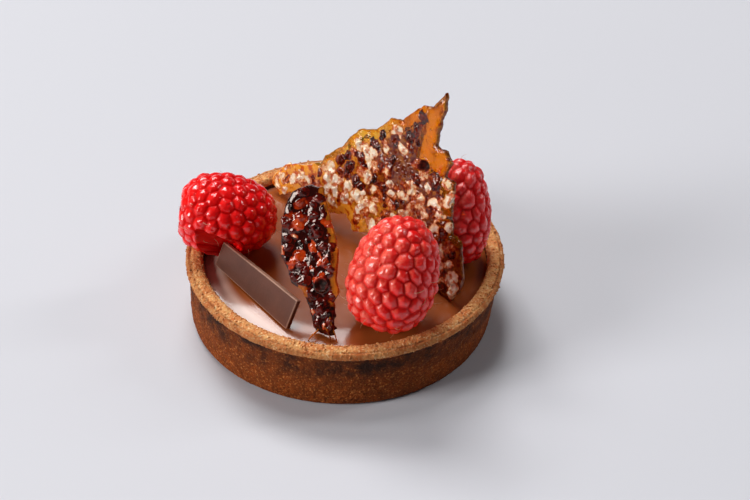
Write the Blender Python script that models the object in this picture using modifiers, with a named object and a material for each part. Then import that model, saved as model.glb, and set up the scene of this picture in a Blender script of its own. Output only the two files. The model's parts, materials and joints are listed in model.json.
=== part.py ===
"""Praline tart, 76 mm across: a chocolate shortcrust shell filled to just under its rim with
milk chocolate ganache, and topped with three raspberries, a dark chocolate stick and two
shards of nut praline brittle.

Axes: +Z up, the camera side of the tart is -Y.  The origin is the middle of the base.
Run with: blender --background --python part.py
"""

import math
import random

import bmesh
import bpy
from mathutils import Euler, Matrix, Vector, noise
from mathutils.geometry import delaunay_2d_cdt

MM = 0.001
GAP = 0.3 * MM                      # clearance between neighbouring pieces

# Shortcrust shell
RIM_RADIUS = 38.0 * MM
RIM_TOP = 17.0 * MM
RIM_INNER_RADIUS = 33.9 * MM
LIP_HEIGHT = 1.9 * MM               # bead that the dough forms over the edge of its ring
LIP_OVERHANG = 1.0 * MM
BASE_RADIUS = 36.2 * MM
BASE_SHIFT = -1.0 * MM              # the base sits a little left of the rim
FLOOR_THICKNESS = 3.0 * MM
HOLLOW_FOOT_RADIUS = 33.2 * MM
HOLLOW_TOP_RADIUS = 33.8 * MM       # at the level of the filling
ROUNDING = 0.6 * MM                 # of the hollow's foot and of the rim's inner edge
GROOVE_INSET = 1.15 * MM            # shallow groove round the rim, inside the bead
GROOVE_DEPTH = 0.45 * MM
BASE_CHAMFER = 0.8 * MM
CRUST_STEPS = 96
CRUMB_SIZE = 2.6 * MM               # scale of the crags in the baked surface
CRUMB_DEPTH = 0.28 * MM

# Ganache
GANACHE_TOP = 15.0 * MM
GANACHE_STEPS = 72
MENISCUS = 0.25 * MM                # the filling climbs this much where it meets the shell
MENISCUS_WIDTH = 1.6 * MM

# Chocolate stick, leaning back against the left raspberry
STICK_FOOT_LEFT = Vector((-30.9, -4.6, 15.3)) * MM
STICK_FOOT_RIGHT = Vector((-13.4, -27.7, 15.3)) * MM
STICK_HEIGHT_LEFT = 6.3 * MM
STICK_HEIGHT_RIGHT = 7.6 * MM
STICK_THICKNESS = 1.3 * MM
STICK_LEAN = math.radians(25)
STICK_BEVEL = 0.2 * MM

# Raspberries
DRUPELET_WIDTH = 3.75 * MM          # along a row
DRUPELET_ROW = 3.2 * MM             # from row to row
DRUPELET_JITTER = 0.13              # of the spacing
CREASE_DEPTH = 1.0 * MM
CROWN_RING = 0.62                   # share of the way from a drupelet's crown to its crease
CROWN_DROP = 0.16 * MM
TIP_SHARE = 0.57                    # of the length lies between the widest row and the tip
TIP_FULLNESS = 0.92                 # exponents of the side's curve; lower is blunter
STEM_FULLNESS = 0.66
STEM_RIM_RADIUS = 5.4 * MM          # the last row round the hollow left by the stem
BULGE = 2.0 * MM                    # reach of the dent where a berry leans on the stick
MERIDIAN_SAMPLES = 240

# Praline brittle
SHEET_THICKNESS = 2.0 * MM
SHEET_MESH = 3.6 * MM               # spacing of the points that carry its waves
SHEET_WAVE = 0.8 * MM
SHEET_WAVE_SIZE = 11.0 * MM
SHEET_UNEVENNESS = 0.25             # of the thickness
EDGE_THINNING = 0.7                 # of the thickness is left along the broken edge
NIB_SINK = (0.25, 0.5)              # nuts are centred this share of a thickness off the middle
FRONT_NIB_SHARE = 0.7


def clear_scene():
    for scene_object in list(bpy.data.objects):
        bpy.data.objects.remove(scene_object, do_unlink=True)


def make_material(name, colour, roughness):
    material = bpy.data.materials.new(name)
    material.use_nodes = True
    shader = material.node_tree.nodes["Principled BSDF"]
    shader.inputs["Base Color"].default_value = (*colour, 1.0)
    shader.inputs["Roughness"].default_value = roughness
    shader.inputs["Metallic"].default_value = 0.0
    return material


def make_collection(name):
    collection = bpy.data.collections.new(name)
    bpy.context.scene.collection.children.link(collection)
    return collection


def add_object(name, mesh, collection, material=None):
    new_object = bpy.data.objects.new(name, mesh)
    collection.objects.link(new_object)
    if material:
        mesh.materials.clear()
        mesh.materials.append(material)
    return new_object


def evaluated_mesh(source):
    """The object's mesh with its modifiers applied."""
    graph = bpy.context.evaluated_depsgraph_get()
    return bpy.data.meshes.new_from_object(source.evaluated_get(graph))


def mesh_from_bmesh(name, shape):
    mesh = bpy.data.meshes.new(name)
    shape.to_mesh(mesh)
    shape.free()
    return mesh


def turned_mesh(name, profile, steps, collection):
    """A solid of revolution from a half section that runs from the axis back to the axis."""
    section = bpy.data.meshes.new(name + "_section")
    points = [(radius, 0.0, height) for radius, height in profile]
    edges = [(index, index + 1) for index in range(len(points) - 1)]
    section.from_pydata(points, edges, [])
    lathe = add_object(name + "_lathe", section, collection)
    screw = lathe.modifiers.new("turn", "SCREW")
    screw.steps = steps
    screw.render_steps = steps
    screw.use_merge_vertices = True
    screw.merge_threshold = 0.00001
    mesh = evaluated_mesh(lathe)
    bpy.data.objects.remove(lathe, do_unlink=True)
    return mesh


def crag(point, size):
    """Smooth noise between -1 and 1, the same for the same point."""
    return noise.noise(point / size)


# ---------------------------------------------------------------- shell and filling

def crust_profile():
    """The shell's half section: floor, inner wall, rim, rolled lip, outer wall and base."""
    lip_foot = RIM_TOP - LIP_HEIGHT
    wall_top_radius = RIM_RADIUS - LIP_OVERHANG
    wall_slope = (wall_top_radius - BASE_RADIUS) / RIM_TOP
    return [
        (0.0, FLOOR_THICKNESS),
        (HOLLOW_FOOT_RADIUS - ROUNDING, FLOOR_THICKNESS),
        (HOLLOW_FOOT_RADIUS, FLOOR_THICKNESS + ROUNDING),
        (HOLLOW_TOP_RADIUS, GANACHE_TOP),
        (RIM_INNER_RADIUS, RIM_TOP - ROUNDING),
        (RIM_INNER_RADIUS + ROUNDING, RIM_TOP),
        (RIM_RADIUS - GROOVE_INSET - GROOVE_DEPTH, RIM_TOP),
        (RIM_RADIUS - GROOVE_INSET, RIM_TOP - GROOVE_DEPTH),
        (RIM_RADIUS - GROOVE_INSET / 2, RIM_TOP - GROOVE_DEPTH / 2),
        (RIM_RADIUS, RIM_TOP - LIP_HEIGHT / 2),
        (RIM_RADIUS - LIP_OVERHANG / 4, lip_foot),
        (wall_top_radius, lip_foot - LIP_OVERHANG / 3),
        (BASE_RADIUS + wall_slope * RIM_TOP * 0.6, RIM_TOP * 0.6),
        (BASE_RADIUS + wall_slope * RIM_TOP * 0.3, RIM_TOP * 0.3),
        (BASE_RADIUS, BASE_CHAMFER),
        (BASE_RADIUS - BASE_CHAMFER, 0.0),
        (0.0, 0.0),
    ]


def make_crust(collection):
    mesh = turned_mesh("crust", crust_profile(), CRUST_STEPS, collection)
    for vertex in mesh.vertices:
        place = vertex.co
        radius = math.hypot(place.x, place.y)
        on_outside = radius > RIM_INNER_RADIUS + ROUNDING / 2
        on_rim = place.z > RIM_TOP - LIP_HEIGHT / 2
        on_base = place.z < BASE_CHAMFER / 2
        if (on_outside or on_rim) and not on_base:
            outward = Vector((place.x, place.y, 0.0)).normalized()
            rough = crag(place, CRUMB_SIZE) + 0.6 * crag(place, CRUMB_SIZE * 3.0)
            upward = crag(place + Vector((0, 0, RIM_RADIUS)), CRUMB_SIZE * 2.0)
            place += outward * rough * CRUMB_DEPTH
            if place.z > RIM_TOP - LIP_HEIGHT:
                place.z += upward * CRUMB_DEPTH
        if on_outside or on_base:
            place.x += BASE_SHIFT * max(0.0, 1.0 - place.z / RIM_TOP)
    colour = make_material("shortcrust", (0.21, 0.085, 0.035), 0.85)
    return add_object("crust", mesh, collection, colour)


def make_ganache(collection):
    """The filling: flat on top, climbing a little where it meets the shell."""
    foot = FLOOR_THICKNESS + GAP
    foot_radius = HOLLOW_FOOT_RADIUS - GAP
    top_radius = HOLLOW_TOP_RADIUS - GAP
    profile = [
        (0.0, GANACHE_TOP),
        (top_radius / 2, GANACHE_TOP),
        (top_radius - MENISCUS_WIDTH, GANACHE_TOP),
        (top_radius, GANACHE_TOP + MENISCUS),
        (foot_radius, foot + ROUNDING),
        (foot_radius - ROUNDING, foot),
        (0.0, foot),
    ]
    mesh = turned_mesh("ganache", profile, GANACHE_STEPS, collection)
    colour = make_material("milk_chocolate_ganache", (0.30, 0.12, 0.05), 0.25)
    return add_object("ganache", mesh, collection, colour)


# ---------------------------------------------------------------- chocolate stick

def stick_frame():
    """Foot of the stick, its direction, the direction up its face, and its backward normal."""
    along = (STICK_FOOT_RIGHT - STICK_FOOT_LEFT).normalized()
    back = Vector((-along.y, along.x, 0.0))
    if back.y < 0:
        back.negate()
    up = back * math.sin(STICK_LEAN) + Vector((0, 0, 1)) * math.cos(STICK_LEAN)
    normal = back * math.cos(STICK_LEAN) - Vector((0, 0, 1)) * math.sin(STICK_LEAN)
    return STICK_FOOT_LEFT, along, up, normal


def make_stick(collection):
    foot, along, up, normal = stick_frame()
    foot = foot + Vector((0, 0, 1)) * STICK_THICKNESS * math.sin(STICK_LEAN)
    length = (STICK_FOOT_RIGHT - STICK_FOOT_LEFT).length
    shape = bmesh.new()
    bmesh.ops.create_cube(shape, size=1.0)
    for vertex in shape.verts:
        share = vertex.co.x + 0.5
        height = STICK_HEIGHT_LEFT + (STICK_HEIGHT_RIGHT - STICK_HEIGHT_LEFT) * share
        distance = share * length
        depth = (vertex.co.y + 0.5) * STICK_THICKNESS
        rise = (vertex.co.z + 0.5) * height
        vertex.co = foot + along * distance + normal * depth + up * rise
    bmesh.ops.recalc_face_normals(shape, faces=shape.faces)
    colour = make_material("dark_chocolate", (0.085, 0.042, 0.032), 0.35)
    stick = add_object("chocolate_stick", mesh_from_bmesh("stick", shape), collection, colour)
    bevel = stick.modifiers.new("worn_edges", "BEVEL")
    bevel.width = STICK_BEVEL
    bevel.segments = 2
    return stick


# ---------------------------------------------------------------- raspberries

def berry_point(polar, azimuth, length, width):
    """Point of the smooth berry under its drupelets; polar 0 is the tip, pi the stem end."""
    if polar < math.pi / 2:
        reach = length * TIP_SHARE
        fullness = TIP_FULLNESS
    else:
        reach = length * (1.0 - TIP_SHARE)
        fullness = STEM_FULLNESS
    radius = width / 2 * max(math.sin(polar), 0.0) ** fullness
    return Vector((radius * math.cos(azimuth), radius * math.sin(azimuth),
                   reach * math.cos(polar)))


def meridian(length, width):
    """Polar angles and their distances from the tip, measured over the berry's side."""
    samples = []
    travelled = 0.0
    previous = berry_point(0.0, 0.0, length, width)
    for step in range(MERIDIAN_SAMPLES + 1):
        polar = math.pi * step / MERIDIAN_SAMPLES
        place = berry_point(polar, 0.0, length, width)
        travelled += (place - previous).length
        previous = place
        samples.append((polar, travelled, place.x))
    return samples


def drupelet_directions(length, width, seed):
    """(polar, azimuth) of every drupelet: staggered rows from the tip to the stem's hollow."""
    draw = random.Random(seed)
    samples = meridian(length, width)
    rim = next(item for item in reversed(samples) if item[2] >= STEM_RIM_RADIUS)
    row_count = round(rim[1] / DRUPELET_ROW)
    directions = [(0.0, 0.0)]
    for row in range(1, row_count + 1):
        distance = rim[1] * row / row_count
        polar, _, radius = min(samples, key=lambda item: abs(item[1] - distance))
        count = max(5, round(math.tau * radius / DRUPELET_WIDTH))
        start = draw.uniform(0.0, math.tau)
        for index in range(count):
            turn = (index + draw.uniform(-1, 1) * DRUPELET_JITTER) / count
            tilt = draw.uniform(-1, 1) * DRUPELET_JITTER * DRUPELET_ROW / length * 2.0
            directions.append((polar + tilt, start + math.tau * turn))
    directions.append((math.pi, 0.0))
    return directions


def unit_vector(polar, azimuth):
    return Vector((math.sin(polar) * math.cos(azimuth),
                   math.sin(polar) * math.sin(azimuth), math.cos(polar)))


def pebbled_mesh(name, length, width, hollow_depth, seed):
    """A closed skin of many-sided drupelets, one cell round each direction."""
    centres = [unit_vector(*angles) for angles in drupelet_directions(length, width, seed)]
    hull = bmesh.new()
    for centre in centres:
        hull.verts.new(centre)
    bmesh.ops.convex_hull(hull, input=hull.verts)
    bmesh.ops.triangulate(hull, faces=hull.faces)
    hull.verts.index_update()
    hull.faces.index_update()

    def on_berry(direction, sunk):
        polar = math.acos(max(-1.0, min(1.0, direction.z)))
        azimuth = math.atan2(direction.y, direction.x)
        place = berry_point(polar, azimuth, length, width)
        return place * (1.0 - sunk / place.length)

    skin = bmesh.new()
    corners = {}
    for face in hull.faces:
        middle = face.calc_center_median().normalized()
        corners[face.index] = (middle, skin.verts.new(on_berry(middle, CREASE_DEPTH)))
    for vertex in hull.verts:
        centre = vertex.co.normalized()
        is_hollow = centre.z < -0.999
        side = centre.orthogonal().normalized()
        other = centre.cross(side)
        around = sorted(vertex.link_faces, key=lambda face: math.atan2(
            corners[face.index][0].dot(other), corners[face.index][0].dot(side)))
        ring_sunk = hollow_depth * 0.85 if is_hollow else CROWN_DROP
        crown_sunk = hollow_depth if is_hollow else 0.0
        crown = skin.verts.new(on_berry(centre, crown_sunk))
        ring = []
        for face in around:
            direction = centre.lerp(corners[face.index][0], CROWN_RING).normalized()
            ring.append(skin.verts.new(on_berry(direction, ring_sunk)))
        for index, face in enumerate(around):
            following = (index + 1) % len(around)
            low = corners[face.index][1]
            next_low = corners[around[following].index][1]
            skin.faces.new((crown, ring[index], ring[following]))
            skin.faces.new((ring[index], low, next_low, ring[following]))
    hull.free()
    bmesh.ops.triangulate(skin, faces=skin.faces)
    bmesh.ops.recalc_face_normals(skin, faces=skin.faces)
    return mesh_from_bmesh(name, skin)


def settle(mesh):
    """Press the berry's soft skin clear of the ganache, the rim and the chocolate stick."""
    foot, along, up, normal = stick_frame()
    stick_length = (STICK_FOOT_RIGHT - STICK_FOOT_LEFT).length
    stick_back = STICK_THICKNESS + GAP
    for vertex in mesh.vertices:
        place = vertex.co
        place.z = max(place.z, GANACHE_TOP + GAP)
        radius = math.hypot(place.x, place.y)
        if radius > RIM_INNER_RADIUS - GAP * 2:
            place.z = max(place.z, RIM_TOP + GAP * 2)
        offset = place - foot
        beside = -BULGE < offset.dot(along) < stick_length + BULGE
        above = offset.dot(up) - STICK_HEIGHT_RIGHT
        short = stick_back - offset.dot(normal)
        if beside and short > 0 and above < BULGE:
            place += normal * short * min(1.0, 1.0 - above / BULGE)


def make_raspberry(name, middle, tip_direction, length, width, hollow_depth, seed, collection,
                   material):
    mesh = pebbled_mesh(name, length, width, hollow_depth, seed)
    turn = Vector((0, 0, 1)).rotation_difference(Vector(tip_direction).normalized())
    mesh.transform(Matrix.Translation(Vector(middle) * MM) @ turn.to_matrix().to_4x4())
    settle(mesh)
    return add_object(name, mesh, collection, material)


# ---------------------------------------------------------------- praline brittle

def sheet_frame(foot, along, lean_towards):
    """Matrix whose X runs along the shard's foot, Y up its face, and Z square to the face."""
    x_axis = Vector(along).normalized()
    y_axis = Vector(lean_towards)
    y_axis = (y_axis - x_axis * y_axis.dot(x_axis)).normalized()
    frame = Matrix((x_axis, y_axis, x_axis.cross(y_axis))).transposed().to_4x4()
    return Matrix.Translation(Vector(foot) * MM) @ frame


def inside(point, outline):
    """Whether a point lies in the outline, by the even-odd rule."""
    within = False
    for start, end in zip(outline, outline[1:] + outline[:1]):
        if (start.y > point.y) != (end.y > point.y):
            cross = start.x + (point.y - start.y) * (end.x - start.x) / (end.y - start.y)
            within ^= point.x < cross
    return within


def edge_distance(point, outline):
    best = math.inf
    for start, end in zip(outline, outline[1:] + outline[:1]):
        side = end - start
        share = max(0.0, min(1.0, (point - start).dot(side) / side.length_squared))
        best = min(best, (point - start - side * share).length)
    return best


def points_within(outline, spacing, margin, draw, jitter):
    """A staggered grid of points inside the outline, kept off its edge by the margin."""
    low_x = min(point.x for point in outline)
    low_y = min(point.y for point in outline)
    high_x = max(point.x for point in outline)
    high_y = max(point.y for point in outline)
    row_step = spacing * math.sqrt(0.75)
    points = []
    for row in range(int((high_y - low_y) / row_step) + 1):
        for column in range(int((high_x - low_x) / spacing) + 2):
            shift = 0.5 * (row % 2) + draw.uniform(-jitter, jitter)
            point = Vector((low_x + spacing * (column + shift),
                            low_y + row_step * (row + draw.uniform(-jitter, jitter))))
            if inside(point, outline) and edge_distance(point, outline) > margin:
                points.append(point)
    return points


def sheet_height(point):
    """How far the brittle's middle surface swells out of its plane."""
    place = Vector((point.x, point.y, 0.0))
    return SHEET_WAVE * crag(place, SHEET_WAVE_SIZE)


def sheet_mesh(name, outline, thickness, draw):
    """A wavy sheet cut to the outline, as a closed solid."""
    inner = points_within(outline, SHEET_MESH, SHEET_MESH * 0.45, draw, 0.1)
    edges = [(index, (index + 1) % len(outline)) for index in range(len(outline))]
    points, _, faces, *_ = delaunay_2d_cdt(outline + inner, edges, [], 1, 1e-6)
    sheet = bmesh.new()
    fronts = []
    backs = []
    for point in points:
        middle = sheet_height(point)
        thin = EDGE_THINNING if edge_distance(point, outline) < GAP else 1.0
        swell = crag(Vector((point.x, point.y, RIM_RADIUS)), SHEET_WAVE_SIZE / 2)
        half = thickness / 2 * thin * (1.0 + SHEET_UNEVENNESS * swell)
        fronts.append(sheet.verts.new((point.x, point.y, middle - half)))
        backs.append(sheet.verts.new((point.x, point.y, middle + half)))
    for face in faces:
        sheet.faces.new([fronts[index] for index in face])
        sheet.faces.new([backs[index] for index in reversed(face)])
    rim = [edge for edge in sheet.edges if edge.is_boundary]
    bmesh.ops.bridge_loops(sheet, edges=rim)
    bmesh.ops.triangulate(sheet, faces=sheet.faces)
    bmesh.ops.recalc_face_normals(sheet, faces=sheet.faces)
    return mesh_from_bmesh(name, sheet)


def nib_mesh(point, height, size, draw):
    """One chopped nut, a squashed and turned pebble of 20 faces half sunk in the sheet."""
    nib = bmesh.new()
    bmesh.ops.create_icosphere(nib, subdivisions=1, radius=0.5)
    stretch = Matrix.Diagonal((size * draw.uniform(1.0, 1.4), size * draw.uniform(0.75, 1.0),
                               size * draw.uniform(0.8, 1.0), 1.0))
    turn = Euler((draw.uniform(-0.5, 0.5), draw.uniform(-0.5, 0.5),
                  draw.uniform(0, math.tau))).to_matrix().to_4x4()
    spot = Matrix.Translation((point.x, point.y, height))
    bmesh.ops.transform(nib, matrix=spot @ turn @ stretch, verts=nib.verts)
    return mesh_from_bmesh("nib", nib)


def make_shard(name, outline, frame, front, nib_spacing, nib_size, seed, collection,
               material):
    """A shard: its sheet with chopped nuts standing out of both faces, joined into one."""
    draw = random.Random(seed)
    shard = add_object(name, sheet_mesh(name, outline, SHEET_THICKNESS, draw), collection)
    loose = make_collection(name + "_nibs")
    for point in points_within(outline, nib_spacing, nib_size * 0.3, draw, 0.3):
        side = 1 if draw.random() < FRONT_NIB_SHARE else -1
        height = sheet_height(point) + side * front * SHEET_THICKNESS * draw.uniform(*NIB_SINK)
        mesh = nib_mesh(point, height, nib_size * draw.uniform(0.7, 1.25), draw)
        add_object(name + "_nib", mesh, loose)
    union = shard.modifiers.new("nibs", "BOOLEAN")
    union.operation = "UNION"
    union.operand_type = "COLLECTION"
    union.collection = loose
    union.solver = "EXACT"
    joined = evaluated_mesh(shard)
    shard.modifiers.clear()
    for nib in list(loose.objects):
        bpy.data.objects.remove(nib, do_unlink=True)
    bpy.data.collections.remove(loose)
    joined.transform(frame)
    shard.data = joined
    joined.materials.clear()
    joined.materials.append(material)
    return shard


def scaled(points):
    return [Vector(point) * MM for point in points]


LARGE_SHARD_OUTLINE = scaled([
    (0.0, -0.8), (-1.8, 3.4), (-1.6, 5.8), (0.6, 10.8), (2.4, 13.4), (4.9, 13.8), (6.3, 18.3),
    (7.9, 25.9), (10.9, 25.8), (10.3, 29.6), (12.3, 31.8), (15.3, 32.0), (15.7, 37.0),
    (15.4, 40.8), (16.4, 44.7), (19.0, 40.2), (21.8, 39.3), (26.7, 33.3), (30.0, 32.3),
    (33.9, 27.7), (38.6, 25.6), (42.1, 19.5), (46.4, 15.2), (47.3, 12.6), (53.1, 9.4),
    (58.0, 7.1), (61.2, 2.5), (60.5, 0.9), (57.2, -0.9), (54.1, 1.4), (46.9, 1.3), (40.0, 2.3),
    (35.6, 4.5), (32.3, 1.2), (27.9, 3.1), (17.6, 2.3), (4.2, -0.8),
])
LARGE_SHARD_FRAME = sheet_frame((25.0, -16.2, 16.4), (-0.717, 0.697, 0.0), (-0.04, 0.45, 0.89))
LARGE_SHARD_FRONT = -1              # its frame's Z points out of the back

SMALL_SHARD_OUTLINE = scaled([
    (0.0, 0.0), (1.9, 0.6), (0.8, 4.1), (1.4, 5.0), (-0.1, 8.1), (0.8, 9.7), (-0.5, 13.5),
    (-1.0, 18.2), (-2.9, 22.8), (-6.1, 28.5), (-8.5, 33.0), (-12.1, 32.3), (-15.1, 30.0),
    (-16.3, 26.0), (-16.0, 21.9), (-14.8, 15.1), (-13.0, 12.7), (-11.0, 9.4), (-7.8, 8.7),
    (-4.4, 3.4), (-3.7, 1.0), (-2.6, 0.3),
])
SMALL_SHARD_FRAME = sheet_frame((-4.0, -29.7, 15.8), (0.92, -0.39, 0.0), (0.195, 0.46, 0.866))
SMALL_SHARD_FRONT = 1

# middle of the widest row (mm), direction of the tip, length and width (mm), depth of the
# stem's hollow (mm), and the seed of its unevenness
RASPBERRIES = {
    "raspberry_left": ((-29.6, 2.7, 25.2), (0.99, 0.02, -0.12), 24.2, 20.4, 8.0, 11),
    "raspberry_front": ((10.7, -23.1, 26.7), (0.24, 0.42, 0.87), 27.2, 21.2, 1.5, 23),
    "raspberry_right": ((26.5, 1.4, 25.9), (0.03, 0.40, 0.92), 25.8, 16.0, 1.5, 37),
}


def main():
    clear_scene()
    tart = make_collection("praline_tart")
    make_crust(tart)
    make_ganache(tart)
    make_stick(tart)
    berry = make_material("raspberry", (0.62, 0.02, 0.04), 0.35)
    for name, (middle, tip, length, width, hollow, seed) in RASPBERRIES.items():
        make_raspberry(name, middle, tip, length * MM, width * MM, hollow * MM, seed, tart, berry)
    brittle = make_material("praline_brittle", (0.45, 0.17, 0.03), 0.2)
    make_shard("praline_shard_large", LARGE_SHARD_OUTLINE, LARGE_SHARD_FRAME,
               LARGE_SHARD_FRONT, 5.8 * MM, 4.2 * MM, 5, tart, brittle)
    make_shard("praline_shard_small", SMALL_SHARD_OUTLINE, SMALL_SHARD_FRAME,
               SMALL_SHARD_FRONT, 4.6 * MM, 4.0 * MM, 8, tart, brittle)


if __name__ == "__main__":
    main()
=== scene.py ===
"""Looks of the praline tart: baked shortcrust, poured ganache, raspberries, a dark chocolate
stick and two shards of nut brittle, on a plain pale floor under five softboxes.

Shapes are worked out in millimetres and scaled to metres when a piece is added.
"""

import json
import math
import random

import bmesh
import bpy
import numpy as np
from mathutils import Matrix, Vector, noise
from mathutils.geometry import delaunay_2d_cdt

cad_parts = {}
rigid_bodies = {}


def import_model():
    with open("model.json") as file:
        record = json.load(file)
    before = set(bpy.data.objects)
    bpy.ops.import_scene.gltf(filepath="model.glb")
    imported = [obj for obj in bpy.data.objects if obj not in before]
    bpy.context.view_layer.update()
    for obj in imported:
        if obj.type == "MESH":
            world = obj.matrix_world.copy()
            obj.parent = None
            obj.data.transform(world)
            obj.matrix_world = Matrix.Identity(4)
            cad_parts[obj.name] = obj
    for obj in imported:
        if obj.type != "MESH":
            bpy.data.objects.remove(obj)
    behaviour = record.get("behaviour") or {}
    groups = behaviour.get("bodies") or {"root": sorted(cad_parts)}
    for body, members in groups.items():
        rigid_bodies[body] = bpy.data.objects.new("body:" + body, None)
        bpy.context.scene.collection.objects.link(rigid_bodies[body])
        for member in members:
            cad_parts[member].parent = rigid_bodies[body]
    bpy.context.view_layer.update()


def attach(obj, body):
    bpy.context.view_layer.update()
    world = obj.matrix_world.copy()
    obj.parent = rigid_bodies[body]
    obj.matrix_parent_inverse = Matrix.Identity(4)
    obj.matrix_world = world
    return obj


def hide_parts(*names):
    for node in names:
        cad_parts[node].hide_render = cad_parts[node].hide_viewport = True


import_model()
noise.seed_set(7)                   # noise vectors differ from run to run without it

MM = 0.001

# Shortcrust shell (mm)
RIM_RADIUS = 38.0
RIM_TOP = 17.0
RIM_INNER_RADIUS = 33.9
LIP_HEIGHT = 1.9
LIP_OVERHANG = 1.0
BASE_RADIUS = 36.2
BASE_SHIFT = -1.0
FLOOR_THICKNESS = 3.0
HOLLOW_FOOT_RADIUS = 33.2
HOLLOW_TOP_RADIUS = 33.8
ROUNDING = 0.6
GROOVE_INSET = 1.15
GROOVE_DEPTH = 0.45
BASE_CHAMFER = 0.8
CRUST_STEPS = 740
CRUST_MESH = 0.3
CRUST_RELIEF = {"Crag Size": 3.2, "Crag Depth": 0.22, "Grain Size": 0.75, "Grain Depth": 0.22,
                "Pit Size": 1.3, "Pit Depth": 0.3}
CRUMB_TOP = 17.3

# Ganache: its solid keeps a gap to the shell and to what lies on it, and this one fills it
GANACHE_TOP = 15.3
GANACHE_STEPS = 260
GANACHE_FLAT_RADIUS = 26.0          # from here it rounds off towards the rim
GANACHE_FALL = 0.014
GANACHE_SIDE_FALL = 0.016           # more towards the side where it sank most
GANACHE_SLOPE = Vector((-0.95, -0.31))
GANACHE_RINGS = 110
GANACHE_CREVICE_RADIUS = 33.25      # from here it dips against the shell
GANACHE_CREVICE_SLOPE = 0.5

# Chocolate stick
STICK_FOOT_LEFT = Vector((-30.9, -4.6, 15.3))
STICK_FOOT_RIGHT = Vector((-13.4, -27.7, 15.3))
STICK_HEIGHT_LEFT = 6.3
STICK_HEIGHT_RIGHT = 7.6
STICK_THICKNESS = 1.3
STICK_LEAN = math.radians(25)
STICK_BEVEL = 0.16
STICK_VOXEL = 0.13
STICK_SCUFF = 0.35                  # how far in from an edge it is scuffed

# Raspberries
DRUPELET_WIDTH = 3.75
DRUPELET_ROW = 3.2
DRUPELET_JITTER = 0.13
TIP_SHARE = 0.57
TIP_FULLNESS = 0.92
STEM_FULLNESS = 0.66
STEM_RIM_RADIUS = 5.4
MERIDIAN_SAMPLES = 240
BLOOM_AND_SHEEN_SIDE = (-0.6, -0.45, 0.66)    # direction of the side facing the light, painted with bloom and a painted sheen

# Praline brittle
SHEET_THICKNESS = 1.7
SHEET_WAVE = 0.8
SHEET_WAVE_SIZE = 11.0
SHEET_MESH = 1.6
VOXEL = 0.2


# ---------------------------------------------------------------- nodes

def add_node(tree, kind, sockets=None, **settings):
    """A new node, with its settings made and each socket given a value or a link."""
    new = tree.nodes.new(kind)
    for name, value in settings.items():
        setattr(new, name, value)
    for key, value in (sockets or {}).items():
        if isinstance(value, bpy.types.NodeSocket):
            tree.links.new(value, new.inputs[key])
        else:
            new.inputs[key].default_value = value
    return new


def math_node(tree, operation, *values):
    return add_node(tree, "ShaderNodeMath", dict(enumerate(values)), operation=operation).outputs[0]


def vector_node(tree, operation, *values, output=0):
    new = add_node(tree, "ShaderNodeVectorMath", dict(enumerate(values)), operation=operation)
    return new.outputs[output]


def ramp_between(tree, value, low, high, to_low=0.0, to_high=1.0):
    """A smooth step of a value from one level to another, clamped at both."""
    limits = {"Value": value, "From Min": low, "From Max": high, "To Min": to_low,
              "To Max": to_high}
    return add_node(tree, "ShaderNodeMapRange", limits, interpolation_type="SMOOTHSTEP").outputs[0]


def mix_colour(tree, share, first, second, blend="MIX"):
    new = add_node(tree, "ShaderNodeMix", {0: share, 6: first, 7: second}, data_type="RGBA",
                   blend_type=blend)
    return new.outputs[2]


def colour_ramp(tree, value, stops):
    """Colours along a value; each stop is its place from 0 to 1 and its colour."""
    new = add_node(tree, "ShaderNodeValToRGB", {0: value})
    elements = new.color_ramp.elements
    elements[0].position, elements[0].color = stops[0]
    elements[1].position, elements[1].color = stops[-1]
    for place, colour in stops[1:-1]:
        elements.new(place).color = colour
    return new.outputs[0]


def noise_node(tree, place, size, detail=2.0, metres=True):
    """Noise from 0 to 1 whose lumps are about the size given in millimetres."""
    scale = 1.0 / (size * MM) if metres else 1.0 / size
    sockets = {"Vector": place, "Scale": scale, "Detail": detail}
    return add_node(tree, "ShaderNodeTexNoise", sockets).outputs[0]


def new_tree(name, kind, inputs, outputs):
    """An empty node group with its sockets, and its input and output nodes."""
    tree = bpy.data.node_groups.new(name, kind)
    for socket_name, socket_type in inputs:
        tree.interface.new_socket(socket_name, in_out="INPUT", socket_type=socket_type)
    for socket_name, socket_type in outputs:
        tree.interface.new_socket(socket_name, in_out="OUTPUT", socket_type=socket_type)
    return tree, tree.nodes.new("NodeGroupInput").outputs, tree.nodes.new("NodeGroupOutput").inputs


def end_tree(tree, geometry, given, result):
    """Ends a Geometry Nodes tree: makes its instances real and sets its material."""
    real = add_node(tree, "GeometryNodeRealizeInstances", {0: geometry.outputs[0]})
    finished = add_node(tree, "GeometryNodeSetMaterial", {0: real.outputs[0],
                                                          "Material": given["Material"]})
    tree.links.new(finished.outputs[0], result[0])
    return tree


FLOAT = "NodeSocketFloat"
VECTOR = "NodeSocketVector"
GEOMETRY = "NodeSocketGeometry"
INTEGER = "NodeSocketInt"
MATERIAL = "NodeSocketMaterial"
OBJECT = "NodeSocketObject"


# ---------------------------------------------------------------- meshes and pieces

def link(name, mesh):
    new_object = bpy.data.objects.new(name, mesh)
    bpy.context.scene.collection.objects.link(new_object)
    return new_object


def plain_mesh(carrier):
    """The evaluated mesh of an object, which is then removed."""
    graph = bpy.context.evaluated_depsgraph_get()
    mesh = bpy.data.meshes.new_from_object(carrier.evaluated_get(graph))
    bpy.data.objects.remove(carrier, do_unlink=True)
    return mesh


def shape_mesh(name, shape):
    """The mesh of a bmesh, which is then freed."""
    mesh = bpy.data.meshes.new(name)
    shape.to_mesh(mesh)
    shape.free()
    return mesh


def add_skin(carrier, name, voxel):
    """Fuses all that the object is made of into one skin."""
    skin = carrier.modifiers.new(name, "REMESH")
    skin.mode = "VOXEL"
    skin.voxel_size = voxel


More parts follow.
